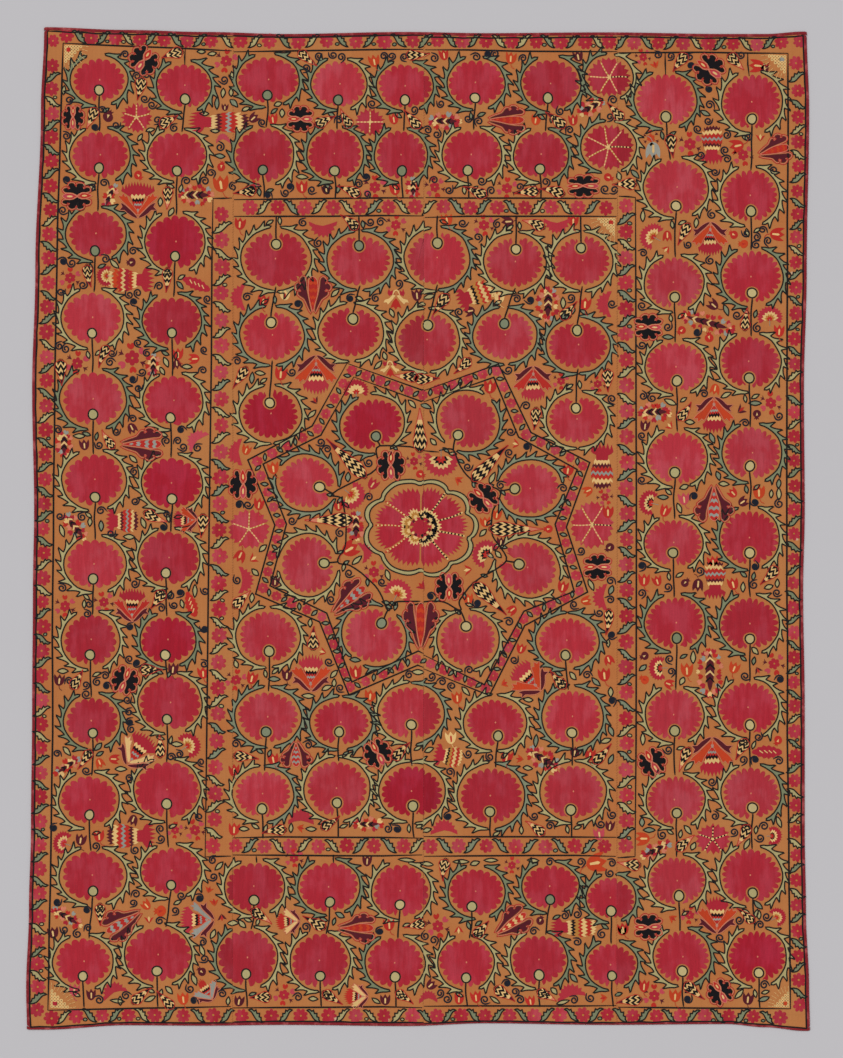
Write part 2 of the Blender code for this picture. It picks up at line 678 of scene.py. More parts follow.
def wreath(spot, reach_x, reach_y, dye, second, grows, openings):
    left_start, left_end, right_start, right_end = openings
    for index, (start, end) in enumerate(((left_start, left_end), (right_start, right_end))):
        if grows == "up" and index == 1:
            start, end = end, start
        length = abs(end - start) * math.pi / 180 * (reach_x + reach_y) / 2
        points = branch(reach_x, reach_y, start, end, max(4, round(length / 9.3)))
        fill(spot, points, (dye, second)[index], "leaves")
        line(spot, points, "ink", 1.6, True, layer="wreath_lines")


def rosette(row, teeth, depth, dye, leaves, turn=0.0, grows="round", stem=None,
            away=(3.0, 4.2), openings=(-97, -244, 75, -62), halo=7.0):
    x, y, wide, tall, ex, ey = row
    spot = Spot(x, y, turn)
    c = math.cos(math.radians(turn))
    s = math.sin(math.radians(turn))
    # the eye's place, as the turned motif sees it
    dx = ex - x
    dy = y - ey
    eye = (dx * c + dy * s, -dx * s + dy * c)
    phase = chance.uniform(0, 6.28)
    if chance.random() < 0.4:
        dye = chance.choice(("deep crimson", "rose", "crimson"))
    fill(spot, rosette_outline(wide, tall, teeth, depth, eye, phase, halo), dye, "rosettes")
    mark = Spot(ex, ey, turn)
    leaf = chance.choice(leaves)
    fill(mark, ring(4.5, 4.8, 20), chance.choice(("sage", "pale sage", leaf)), "eyes")
    line(mark, ring(4.7, 5.0, 20), "ink", 1.7, True)
    fill(Spot(x + chance.uniform(-1, 1), y - 0.5), ring(0.75, 0.95, 8), "pale pink", "details")
    openings = [angle + chance.uniform(-4, 4) for angle in openings]
    second = leaf if chance.random() < 0.75 else chance.choice(leaves)
    wreath(spot, wide / 2 + away[0], tall / 2 + away[1], leaf, second, grows, openings)
    if stem:
        tx, ty = stem
        start = spot.at([(eye[0], eye[1] - 5.0)])[0]
        bend = chance.uniform(-0.8, 0.8)
        middle = ((start[0] + tx) / 2 + bend, (start[1] + ty) / 2)
        line(CHART, [start, middle, (tx, ty)], "ink", 1.75, soft=5)
        # a pair of little leaves on the stem
        side = chance.choice((-1, 1))
        beside = spot.at([(eye[0] + side * 6.5, -tall / 2 - away[1] - 5.0)])[0]
        small_leaf(*beside, turn - side * chance.uniform(50, 75), 8.0, 3.8, leaf)
        if chance.random() < 0.5:
            beside = spot.at([(eye[0] - side * 3.8, -tall / 2 - away[1] - 7.0)])[0]
            small_leaf(*beside, turn + side * chance.uniform(5, 20), 8.0, 3.8, leaf)


def rosettes_down(rows, end, **look):
    """A column of rosettes, each stem reaching the next, the last one the frame line."""
    for row, following in zip(rows, (*rows[1:], None)):
        if following:
            target = (following[0] + (row[4] - following[0]) * 0.6, following[1] - following[3] / 2 - 0.5)
        else:
            target = (row[4] + 1, end)
        rosette(row, stem=target, **look)


def rosettes_up(rows, end, **look):
    """The same, with the eyes towards the top."""
    for row, previous in zip(rows, (None, *rows[:-1])):
        target = (row[4], end)
        if previous:
            target = (previous[0], previous[1] + previous[3] / 2 + 0.5)
        rosette(row, turn=180, stem=target, **look)


# the motifs between the rosettes, each drawn with its tip or fan upwards
def small_leaf(x, y, turn=0.0, long=8.5, wide=4.2, dye="sage"):
    spot = Spot(x, y, turn)
    shape = (
        (0.0, -long / 2),
        (wide * 0.44, -long * 0.12),
        (wide * 0.40, long * 0.16),
        (wide * 0.06, long / 2),
        (-wide * 0.40, long * 0.14),
        (-wide * 0.44, -long * 0.16),
    )
    fill(spot, shape, dye, "leaves", soft=2)
    line(spot, shape, "ink", 1.5, True, soft=2)


def curl(x, y, turn, size, mirror):
    points = [(5.5 * math.cos(0.6), -5.5 * math.sin(0.6))]
    for k in range(19):
        angle = k * 0.5
        reach = 4.0 - k * 0.17
        points.append((reach * math.cos(angle), reach * math.sin(angle)))
    spot = Spot(x, y, turn, size, mirror)
    if chance.random() < 0.14:
        fill(spot, ring(2.7, 2.7, 10), "navy")
    line(spot, points, "navy", 1.7)


def zigzag(spot, half, low, high, dye, teeth, swing, middle=None):
    """A band across a motif with a stepped edge above and below."""
    count = teeth * 2
    upper = []
    lower = []
    for k in range(count + 1):
        u = -1 + 2 * k / count
        lift = swing if k % 2 else -swing
        for edge, at in ((upper, high + lift), (lower, low + lift)):
            reach = half(at)
            shift = middle(at) if middle else 0.0
            edge.append((shift + u * reach * 0.97, at))
    fill(spot, lower + upper[::-1], dye, "details")


def almond(x, y, turn, long, wide, bands=3, lean=0.0, teeth=2):
    """A bud banded black and cream, drawn out into a long dark tip."""
    spot = Spot(x, y, turn)

    def half(at):
        t = min(max(at / long + 0.5, 0.0), 1.0)
        if t < 0.26:
            return wide / 2 * math.sqrt(max(0.03, 1 - ((0.26 - t) / 0.26) ** 2))
        return wide / 2 * max(0.05, (1 - (t - 0.26) / 0.74) ** 1.05)

    def middle(at):
        t = at / long + 0.5
        return lean * t * t * t

    heights = [(k / 11 - 0.5) * long for k in range(12)]
    body = [(middle(at) + half(at), at) for at in heights]
    body += [(middle(at) - half(at), at) for at in reversed(heights)]
    fill(spot, body, "cream")
    step = long * 0.70 / bands
    for k in range(bands):
        low = -long * 0.5 + k * step + (0 if k else 0.4)
        swing = min(2.2, half(low + step / 2) * 0.40)
        zigzag(spot, half, low, low + step * 0.55, "black", teeth, swing, middle)
    tip = [(middle(at) + half(at), at) for at in (long * 0.24, long * 0.36, long * 0.5)]
    tip += [(middle(at) - half(at), at) for at in (long * 0.5, long * 0.36, long * 0.24)]
    fill(spot, tip, chance.choice(("maroon", "black", "maroon", "pale pink")), "details")
    line(spot, body, "red", 0.85, True)


LOBED_WING = (
    # right wing of a black calyx, tip up: (across, up)
    (1.2, 0.8), (4.2, 4.4), (4.4, 9.0), (6.2, 13.4), (9.6, 12.4), (10.0, 8.6), (8.4, 6.2), (12.4, 7.2),
    (15.2, 4.4), (14.4, 0.6), (10.2, -0.4), (14.6, -2.8), (15.0, -6.6), (11.6, -9.0), (8.0, -6.8),
    (9.6, -11.0), (7.8, -14.6), (5.0, -12.8), (4.4, -8.0), (4.0, -4.0), (1.2, -0.6),
)
LONG_WING = (
    # right wing of a maroon calyx
    (1.6, 14.6), (4.8, 9.0), (7.6, 3.6), (10.4, 1.6), (13.0, -0.4), (12.6, -3.0), (10.6, -3.8),
    (14.8, -4.2), (15.8, -7.4), (13.6, -9.8), (11.2, -9.0), (12.4, -12.4), (9.8, -15.2), (7.2, -13.6),
    (6.6, -9.0), (5.6, -3.0), (4.0, 4.0), (2.4, 10.0),
)
CORE = (
    # right side of a maroon calyx's pod
    (0.0, 14.0), (2.4, 8.0), (4.6, 1.0), (5.2, -6.0), (4.2, -12.5), (0.0, -15.5),
)


def grown(points, by):
    """An outline a little way outside another."""
    points = np.asarray(points, float)
    way = np.roll(points, -1, axis=0) - np.roll(points, 1, axis=0)
    size = np.maximum(np.linalg.norm(way, axis=1), 0.01)[:, None]
    out = np.column_stack((way[:, 1], -way[:, 0])) / size
    return points + out * (by if signed_area(points) > 0 else -by)


def calyx(x, y, turn, long, wide, wings="black", inside="cream"):
    """Two lobed wings round a pair of pods, or round one long pod with zigzags."""
    spot = Spot(x, y, turn)
    sx = wide / 31
    sy = long / 31
    shape = LOBED_WING if wings == "black" else LONG_WING
    for side in (1, -1):
        wing = rounded([(side * a * sx, b * sy) for a, b in shape], 2)
        fill(spot, wing, wings)
        line(spot, grown(wing, 0.9), "pale pink", 0.8, True)
        line(spot, grown(wing, 1.7), "red", 0.8, True)
    if wings == "black":
        # two pods, one above the other
        for low, high, reach in ((-15.5, 0.5, 3.9), (-0.5, 15.5, 3.7)):
            swell = (reach, (low * 2 + high) / 3)
            neck = (reach * 0.8, (low + high * 2) / 3)
            pod = [(a * sx, b * sy) for a, b in both_sides([(0, low), swell, neck, (0, high)])]
            fill(spot, pod, "pink" if low < -9 else "red", "eyes", soft=2)
            line(spot, pod, "pale pink", 0.9, True, soft=2)
            middle = (low + high) / 2 * sy
            fill(spot, ring(reach * sx * 0.30, 3.0 * sy, 10, 0, middle), inside, "details")
        return
    body = both_sides([(a * sx * 0.85, b * sy) for a, b in CORE])
    fill(spot, body, "red", soft=2)
    line(spot, body, "pale pink", 0.9, True, soft=2)

    def half(at):
        up = at / sy
        return max(0.5, sx * (4.2 if up < -4 else 4.2 * (1 - (up + 4) / 19)))

    for low in (-11.5, -5.5, 0.5, 6.0):
        zigzag(spot, half, low * sy, (low + 2.6) * sy, inside, 2, 0.9)


BELL = (
    # right side petal of a carnation, fan up
    (0.6, -16.0), (5.6, -11.5), (11.0, -5.6), (16.6, -0.8), (20.4, 3.8), (16.8, 3.4), (16.0, 7.0),
    (12.8, 3.6), (10.6, 5.4), (8.0, 0.4), (4.4, -5.2), (1.0, -10.6),
)
RIBBON = (*BELL[:7], (13.4, 3.0), (11.5, 4.5), (9.2, -0.8), (4.8, -6.8), (1.0, -12.0))
DROOP = (
    (0.6, -19.0), (5.6, -17.4), (10.6, -13.6), (14.2, -10.2), (19.2, -10.4), (16.0, -7.4), (17.8, -3.6),
    (13.0, -6.0), (9.2, -9.6), (4.6, -14.4),
)


def fan_teeth(left, right, low, high, teeth, cut):
    """A fan's toothed top, from its left corner to its right one."""
    points = []
    for k in range(teeth * 2 + 1):
        u = k / (teeth * 2)
        across = left + (right - left) * u
        up = low + (high - low) * math.sin(math.pi * (0.12 + 0.76 * u))
        points.append((across, up if k % 2 else up - cut))
    return points


def carnation(x, y, turn, size, bell, fan, spread):
    """A toothed fan between two broad petals, over two drooping leaves."""
    spot = Spot(x, y, turn, size)
    top = fan_teeth(-spread, spread, 11.5, 19.5, round(spread * 0.62), 5.0)
    fill(spot, [(-7.0, 3.0), (-spread * 0.86, 8.0), *top, (spread * 0.86, 8.0), (7.0, 3.0)], fan)
    fill(spot, both_sides(((0, -15.8), (4.6, -6.0), (8.0, 3.4))), "red")
    for side in (1, -1):
        petal = rounded([(side * a, b) for a, b in (RIBBON if spread > 14 else BELL)], 2)
        fill(spot, petal, bell, "eyes")
        line(spot, grown(petal, 0.4), "pale pink", 0.7, True)
        droop = rounded([(side * a, b) for a, b in DROOP], 2)
        fill(spot, droop, "maroon")
        line(spot, grown(droop, 0.5), "pale pink", 0.75, True)

    def half(at):
        return max(0.5, 2.0 + (at + 10) * 0.40)

    fill(spot, ring(1.4, 2.0, 8, 0, -11.0), "grey", "details")
    zigzag(spot, half, -5.6, -3.6, "grey", 3, 0.7)
    zigzag(spot, half, -1.4, 1.4, "black", 4, 0.9)
    zigzag(spot, half, 1.8, 5.4, "cream", 4, 1.1)


def half_fan(x, y, turn, wide, dye, core):
    """A toothed crescent, or a fuller fan with bands of zigzag round a heart."""
    spot = Spot(x, y, turn)
    reach = wide / 2
    if not core:
        points = [(reach * 1.02, -4.6)]
        teeth = 9
        for k in range(1, teeth * 2):
            angle = math.pi * k / (teeth * 2)
            away = reach * (1.0 if k % 2 else 0.80)
            points.append((away * math.cos(angle), away * 1.08 * math.sin(angle) - reach * 0.22))
        points += [(-reach * 1.02, -4.6), (-reach * 0.5, -1.8), (0, -0.4), (reach * 0.5, -1.8)]
        fill(spot, points, dye)
        return
    round_fan = []
    for k in range(33):
        angle = math.radians(-32 + 244 * k / 32)
        away = reach * (1.0 if k % 2 else 0.84)
        round_fan.append((away * math.cos(angle), away * math.sin(angle) * 0.92 - reach * 0.2))
    round_fan += [(-reach * 0.4, -reach * 0.34), (reach * 0.4, -reach * 0.34)]
    fill(spot, round_fan, dye)
    bands = ((0.58, "cream", 8), (0.36, core, 6), (0.22, "red", 4))
    for away, shade, count in bands:
        band = [(reach * away * 0.7, -reach * 0.42), (reach * away, -reach * 0.3)]
        for k in range(count * 2 + 1):
            angle = math.radians(-6 + 192 * k / (count * 2))
            out = reach * (away + (0.10 if k % 2 else -0.05))
            band.append((out * math.cos(angle), out * math.sin(angle) * 0.9 - reach * 0.3))
        band += [(-reach * away, -reach * 0.3), (-reach * away * 0.7, -reach * 0.42)]
        fill(spot, band, shade, "details")
    line(spot, [(0, -reach * 0.3), (0, -reach * 0.85)], "grey", 1.2)


BARREL_BANDS = (
    # (lowest, highest, half width)
    (-19.5, -15.5, 8.0), (-15.5, -11.6, 9.8), (-11.6, -7.6, 10.6), (-7.6, -5.0, 10.6), (-5.0, -1.2, 10.0),
    (-1.2, 1.8, 8.8), (1.8, 5.4, 7.4),
)
BARREL_DYES = (
    ("maroon", "cream", "red", "grey", "red", "maroon", "cream"),
    ("cream", "red", "cream", "red", "ochre", "black", "cream"),
    ("cream", "orange", "red", "cream", "crimson", "red", "cream"),
)


def barrel(x, y, turn, long, wide, kind):
    """A striped jar with a fringed crown above it."""
    spot = Spot(x, y, turn)
    unit = long / 40
    side = wide / 20
    count = 5
    for (low, high, reach), dye in zip(BARREL_BANDS, BARREL_DYES[kind]):
        lower = []
        upper = []
        for k in range(count * 2 + 1):
            u = -1 + k / count
            ease = 1.8 * u * u
            swing = 1.15 if k % 2 else -1.15
            lower.append((u * reach * side, (low + ease * (0.9 if low < -10 else 0.1) + swing) * unit))
            upper.append((u * reach * side, (high + swing) * unit))
        fill(spot, lower + upper[::-1], dye)
    top = fan_teeth(-11.0 * side, 11.0 * side, 16.4 * unit, 20.6 * unit, 6, 5.0 * unit)
    shape = [(-5.4, 5.0), (-5.6, 9.6), (-8.8, 11.0)]
    shape = [(a * side, b * unit) for a, b in shape]
    fill(spot, shape + top + [(-a, b) for a, b in reversed(shape)], "crimson")


LEAFLETS = ((0, -2.2), (1.2, 0), (3.2, 2.2), (0.6, 1.2), (0, 3.4), (-0.8, 1.2), (-3.2, 2.0), (-1.2, 0))
OPEN_BUD = ((0, -2.6), (2.6, -0.6), (2.8, 2.0), (1.2, 2.8), (0, 1.4))


def flower(x, y, turn=0.0, size=1.0, heart="crimson", buds="pink"):
    """A six-petalled flower with buds and dark leaves round it."""
    spot = Spot(x, y, turn, size)
    fill(spot, petals(6.0, 1.7, 6, 5), heart)
    fill(spot, ring(0.9, 0.9, 8), "ochre", "details")
    for k, shade in enumerate((buds, "red", "maroon") * 2):
        angle = math.radians(35 + k * 60)
        place = spot.at([(9.2 * math.cos(angle), 9.2 * math.sin(angle))])[0]
        away = Spot(*place, turn + 35 + k * 60 - 90, size)
        if shade == "maroon":
            fill(away, LEAFLETS, shade)
        else:
            fill(away, both_sides(OPEN_BUD), shade, soft=2)


def tulip(x, y, turn=0.0, size=1.0, dye="red", inside="cream"):
    spot = Spot(x, y, turn, size)
    cup = ((0, -6), (3.8, -3.8), (5.4, 1.0), (5.0, 6.0), (2.4, 2.6), (0, 6.4))
    fill(spot, both_sides(cup), dye, soft=2)
    fill(spot, [(-0.7, -3.8), (0.7, -3.8), (0.9, 1.4), (0, 2.6), (-0.9, 1.4)], inside, "details")
    if size > 0.9:
        line(spot, [(0.4, -6), (1.6, -9), (4.4, -10.5)], dye, 0.7, soft=3)


def pomegranate(x, y, turn=0.0, size=1.0, dye="orange"):
    spot = Spot(x, y, turn, size)
    fill(spot, ring(5.0, 4.7, 16), dye)
    fill(spot, [(-1.8, 4.0), (-3.2, 6.8), (-0.9, 5.8), (0, 7.6), (0.9, 5.8), (3.2, 6.8), (1.8, 4.0)], dye)
    fill(spot, [(-1.6, 1.8), (0.9, 2.6), (0.2, -1.6)], "red" if dye == "orange" else "cream", "details")


def twig(x, y, turn=0.0, size=1.0, dye="maroon"):
    """Two little leaves and a bud."""
    spot = Spot(x, y, turn, size)
    for side in (1, -1):
        leaf = [(0, -4), (side * 2.6, -1.4), (side * 5.4, 3.4), (side * 2.2, 2.2), (side * 0.7, -1.0)]
        fill(spot, leaf, dye)
    bud = both_sides(((0, -2.5), (1.6, 1.4), (0, 4.8)))
    fill(spot, bud, "red" if dye != "red" else "cream")


def flame(x, y, turn, long, wide):
    """A spray of little lobes round a dark pod with a plait of chevrons."""
    spot = Spot(x, y, turn)
    count = max(10, round((long + wide) / 2.9))
    for k in range(count):
        angle = 2 * math.pi * (k + 0.3) / count
        inside = 2.0 if k % 2 else 4.2
        at = ((wide / 2 - inside) * math.cos(angle), (long / 2 - inside) * math.sin(angle))
        shade = ("red", "pale pink", "crimson", "grey", "red", "crimson", "cream")[k % 7]
        lobe = Spot(*spot.at([at])[0], turn + math.degrees(angle) - 90, 1.0)
        reach = chance.uniform(2.2, 3.0)
        half = ((0, -reach), (reach, 0.2), (reach * 0.5, reach), (0, reach * 0.5))
        fill(lobe, both_sides(half), shade, soft=2)
    pod = both_sides(((0, -long * 0.36), (wide * 0.16, 0), (0, long * 0.40)))
    fill(spot, pod, "maroon", "details", soft=3)
    for k in range(4):
        low = (-0.20 + k * 0.13) * long
        reach = wide * 0.17
        chevron = [(-reach, low), (0, low + reach * 0.9), (reach, low)]
        chevron += [(reach, low + 2.0), (0, low + reach * 0.9 + 2.4), (-reach, low + 2.0)]
        fill(spot, chevron, "cream" if k % 2 else "black", "details")


def dashed_leaf(x, y, turn, long, wide, dye):
    """A serrated leaf with slanting dashes."""
    spot = Spot(x, y, turn)
    edge = []
    teeth = 6
    for k in range(teeth):
        for part, out in ((0.0, 0.78), (0.7, 1.05), (0.95, 0.86)):
            u = (k + part) / teeth
            edge.append((wide / 2 * out * math.sin(math.pi * (0.1 + 0.84 * u)), (u - 0.5) * long))
    fill(spot, both_sides([(0, -long / 2), *edge, (0, long / 2)]), dye)
    for k in range(4):
        at = (-0.26 + k * 0.15) * long
        dash = [(-1.6, at - 1.6), (-0.8, at - 2.0), (1.8, at + 1.2), (1.0, at + 1.8)]
        fill(spot, dash, "cream", "details")


LILY_PETAL = (
    (0.5, 1.0), (4.0, -3.4), (8.0, -7.4), (9.4, -5.2), (12.4, -5.4), (11.2, -2.6), (7.0, -1.6), (3.6, 2.0),
)
LILY_HORN = (
    (1.0, 2.4), (4.0, 2.4), (7.2, 0.8), (8.8, 4.0), (7.4, 8.2), (6.0, 5.2), (4.0, 6.8), (3.4, 4.4),
)


def lily(x, y, size):
    """Two flared cream petals with a fan between them, under an arch."""
    spot = Spot(x, y, 0, size)
    fill(spot, both_sides(((0, -1.5), (3.0, -5.0), (5.4, -11.0), (2.0, -9.6), (0, -12.4))), "red")
    for side in (1, -1):
        fill(spot, [(side * a, b) for a, b in LILY_PETAL], "cream")
        fill(spot, [(side * a, b) for a, b in LILY_HORN], "crimson")
    line(spot, [(-3.6, 1.6), (-2.4, 5.2), (0, 6.8), (2.4, 5.2), (3.6, 1.6)], "cream", 1.5, soft=2)


# borders
SPRIG = (
    (-7.8, -6.8), (-4.4, -6.4), (-0.4, -4.2), (1.8, -0.8), (3.6, 2.6), (5.2, 4.8), (8.0, 6.6), (4.6, 7.4),
    (2.0, 5.4), (0.2, 6.6), (-0.8, 3.0), (-3.4, 3.0), (-3.2, -0.6), (-5.4, -1.4), (-5.4, -4.4),
)


def sprig(x, y, turn, size, dye, mirror=False):
    spot = Spot(x, y, turn, size, mirror)
    fill(spot, SPRIG, dye, "leaves", soft=2)
    line(spot, SPRIG, "ink", 1.6, True, soft=2)
    if chance.random() < 0.35:
        bud = [(a + 4.4, b - 3.8) for a, b in ring(2.2, 1.6, 8)]
        fill(spot, bud, dye, "leaves")
        line(spot, bud, "ink", 1.2, True)


def border_flower(x, y, size, dye):
    spot = Spot(x, y, chance.uniform(0, 45), size)
    fill(spot, petals(6.9, 2.1, 8, 6), dye, "border_flowers")
    fill(spot, ring(0.95, 0.95, 8), "ochre", "details")


def border(path, flower_size, dyes, leaves, sprig_turn, sprig_size=1.0, rising=0):
    """Round flowers along a path, with sprigs between them that lean each way in turn.

    The path's rows are (across, down, flower number).
    """
    numbers = [row[2] for row in path]

    def spot(number):
        return tuple(np.interp(number, numbers, [row[part] for row in path]) for part in (0, 1))

    standing = abs(path[-1][1] - path[0][1]) > abs(path[-1][0] - path[0][0])
    for k in range(numbers[-1] + 1):
        x, y = spot(k)
        wander = chance.uniform(-0.7, 0.7)
        dye = dyes[0] if chance.random() < 0.75 else dyes[1]
        y = y + chance.uniform(-0.6, 0.6)
        border_flower(x + wander, y, flower_size * chance.uniform(0.94, 1.06), dye)
        if k < numbers[-1]:
            x, y = spot(k + 0.5)
            leaf = leaves[0] if chance.random() < 0.7 else leaves[1]
            size = sprig_size * chance.uniform(0.92, 1.04)
            if k % 2 == rising:
                sprig(x, y, sprig_turn, size, leaf)
            else:
                sprig(x, y, 180 - sprig_turn if standing else -sprig_turn, size, leaf, mirror=True)


def lattice(x, y, right, down, reach, dot, flower_dye):
    """A corner filled with a cream net, its rays fanning out, and one small flower."""
    spot = Spot(x, y)
    rows = 6
    step = reach * 0.78 / rows
    for i in range(rows):
        for j in range(rows - i):
            a = (i + 0.75) * step
            b = (j + 0.75) * step
            cell = petals(step * 0.58, 0.2, 4, 2)
            if abs(i - 1) + abs(j - 1) < 1:
                continue
            fill(spot, cell + (right * a, -down * b), "cream", "motifs")
            fill(spot, ring(0.5, 0.5, 6) + (right * a, -down * b), dot, "details")
    for k in range(9):
        angle = math.radians(4 + k * 82 / 8)
        for away in (0.82, 0.98):
            ends = (reach * away, reach * (away + 0.13))
            ray = [(right * end * math.cos(angle), -down * end * math.sin(angle)) for end in ends]
            line(spot, ray, "cream", 1.25)
    middle = (right * step * 1.75, -down * step * 1.75)
    fill(spot, petals(step * 0.85, 0.5, 6, 4) + middle, flower_dye, "motifs")


def dotted_spoke(spot, angle, near, far, wide, shades, squash=1.0, pitch=1.75):
    """Dashes of two dyes in turn, out along a spoke."""
    c = math.cos(math.radians(angle))
    s = math.sin(math.radians(angle))
    for step in range(int((far - near) / pitch)):
        low = near + step * pitch
        dash = []
        for out, sway in ((low, wide), (low + pitch, wide), (low + pitch, -wide), (low, -wide)):
            dash.append((out * c - sway * s, (out * s + sway * c) * squash))
        fill(spot, dash, shades[step % 2], "details")


def spoked_wheel(x, y, wide, tall, spokes, turn, dye, marked, teeth):
    """A toothed round with thin dotted spokes; one spoke may be marked out in black."""
    spot = Spot(x, y)
    outline = []
    for k in range(teeth * 2):
        angle = math.pi * (k + chance.uniform(-0.25, 0.25)) / teeth
        cut = 0 if k % 2 else chance.uniform(2.6, 4.2)
        outline.append(((wide / 2 - cut) * math.cos(angle), (tall / 2 - cut) * math.sin(angle)))
    fill(spot, rounded(outline, 2), dye, "rosettes")
    for k in range(spokes):
        angle = turn + 360 * k / spokes
        black = marked and (spokes == 5 or math.cos(math.radians(angle)) > 0.8)
        reach = math.hypot(wide / 2 * math.cos(math.radians(angle)), tall / 2 * math.sin(math.radians(angle)))
        shades = ("black", "cream") if black else ("cream", "pale pink" if k % 2 else "ochre")
        dotted_spoke(spot, angle, 1.4, reach - 2.2, 0.65, shades, 1.0, 1.6)
    fill(spot, ring(1.7, 1.6, 8), "cream", "details")


def vine(points):
    """A thin stem wandering between the motifs, with a little leaf at each side in turn."""
    path = rounded(points, 6, False)
    line(CHART, path, "ink", 1.7)
    for k in range(4, len(path) - 3, 7):
        ahead = path[k + 1] - path[k - 1]
        turn = math.degrees(math.atan2(-ahead[1], ahead[0]))
        side = 1 if (k // 7) % 2 else -1
        x, y = path[k] + (side * 2.6, -side * 1.5)
        small_leaf(x, y, turn + side * 40 - 90, 7.0, 3.4, "teal")


def medallion(x, y):
    """A toothed rosette in nine sectors, parted by seven dotted spokes, in a scalloped ring."""
    flat = 0.865
    cuts = (-90, -53, -13.4, 20.5, 57, 90, 141, 177, 219, 270)
    ring_out = []
    ring_in = []
    for start, end in zip(cuts, cuts[1:]):
        for step in range(13):
            u = (step + 0.5) / 13
            bulge = math.sin(math.pi * u) ** 0.55
            angle = math.radians(start + (end - start) * u)
            for edge, reach in ((ring_out, 49.6 + 8.6 * bulge), (ring_in, 45.4 + 8.2 * bulge)):
                edge.append((reach * math.cos(angle), reach * math.sin(angle) * flat))
    frame = Spot(x, y)
    fill(frame, ring_out + ring_out[:1] + ring_in[:1] + ring_in[::-1], "sage", "leaves")
    line(frame, ring_out, "ink", 1.5, True)
    line(frame, ring_in, "ink", 1.5, True)
    for start, end in zip(cuts, cuts[1:]):
        gap = 1.2
        outline = []
        teeth = max(5, round((end - start) / 6))
        for step in range(teeth * 2 + 1):
            u = step / (teeth * 2)
            angle = math.radians(start + gap + (end - start - 2 * gap) * u)
            reach = 42.6 + 5.0 * math.sin(math.pi * u) ** 0.6
            if step % 2 == 0:
                reach -= 5.4
            outline.append((reach * math.cos(angle), reach * math.sin(angle) * flat))
        middle = math.radians((start + end) / 2)
        outline.append((2.0 * math.cos(middle), 2.0 * math.sin(middle)))
        fill(Spot(x, y), outline, "crimson", "rosettes")
    for angle in cuts[1:5] + cuts[6:9]:
        right = math.cos(math.radians(angle)) > 0
        shades = ("black", "cream") if right else ("cream", "red")
        dotted_spoke(Spot(x, y), angle, 17.0, 45.0, 0.85 if right else 0.75, shades, 0.9)
    # small zigzag fans round the heart, dark on the right half and ochre on the left
    for start, end in zip(cuts, cuts[1:]):
        angle = (start + end) / 2
        right = math.cos(math.radians(angle)) > 0
        c = math.cos(math.radians(angle))
        s = math.sin(math.radians(angle))
        fan = Spot(x + 11.0 * c, y - 10.2 * s, angle - 90)
        dark = "black" if right else "ochre"
        for reach, shade, teeth in ((10.6, "cream", 6), (7.4, dark, 5), (3.8, "cream", 3)):
            shape = [(reach * 0.62, 0)]
            for step in range(teeth * 2 + 1):
                at = math.radians(12 + 156 * step / (teeth * 2))
                out = reach * (1.0 if step % 2 else 0.74)
                shape.append((out * math.cos(at) * 0.74, out * math.sin(at)))
            shape.append((-reach * 0.62, 0))
            fill(fan, shape, shade, "details")
    heart = Spot(x, y)
    for k in range(18):
        shade = ("crimson", "cream", "maroon", "crimson", "black" if k < 5 or k > 13 else "ochre")[k % 5]
        at = math.radians(k * 20)
        fill(heart, ring(1.5, 1.5, 6, 9.4 * math.cos(at), 8.8 * math.sin(at)), shade, "details")
    fill(heart, petals(7.6, 1.0, 10, 4), "crimson", "details")
    fill(heart, ring(3.6, 3.4, 12), "pink", "details")


def star_band():
    """Two lines round the middle of the field, with flowers and little leaves between them."""
    outer = (
        (347, 363), (421.5, 390), (498, 362.5), (531, 431), (590, 461), (566, 526), (587.5, 591),
        (525, 624), (489.6, 694.5), (418, 665.5), (349, 694.5), (319.5, 621.5), (255.6, 594), (275, 525),
        (248, 460), (312, 426),
    )
    inner = (
        (354, 377), (421.4, 401), (494, 376), (518.6, 436), (577, 468), (555, 523), (574, 589.6),
        (523.6, 610), (484, 683), (418, 651), (352, 682), (327, 613), (270, 585.5), (286, 524),
        (263, 464), (321, 435),
    )
    for corners in (outer, inner):
        line(CHART, corners, "ink", 1.7, True)
    count = len(outer)
    for k in range(count):
        ends = [np.add(outer[j % count], inner[j % count]) / 2 for j in (k, k + 1)]
        long = math.dist(*ends)
        flowers = max(3, round(long / 16.5))
        turn = math.degrees(math.atan2(ends[0][1] - ends[1][1], ends[1][0] - ends[0][0]))
        for step in range(flowers):
            x, y = ends[0] + (ends[1] - ends[0]) * (step + 0.1) / flowers
            spot = Spot(x, y, chance.uniform(0, 60), chance.uniform(0.92, 1.08))
            fill(spot, petals(5.3, 1.2, 7, 5), "rose", "border_flowers")
            fill(spot, ring(0.7, 0.7, 6), "ochre", "details")
            x, y = ends[0] + (ends[1] - ends[0]) * (step + 0.6) / flowers
            small_leaf(x, y, turn + (24 if step % 2 else -24), 7.2, 3.6, "teal")


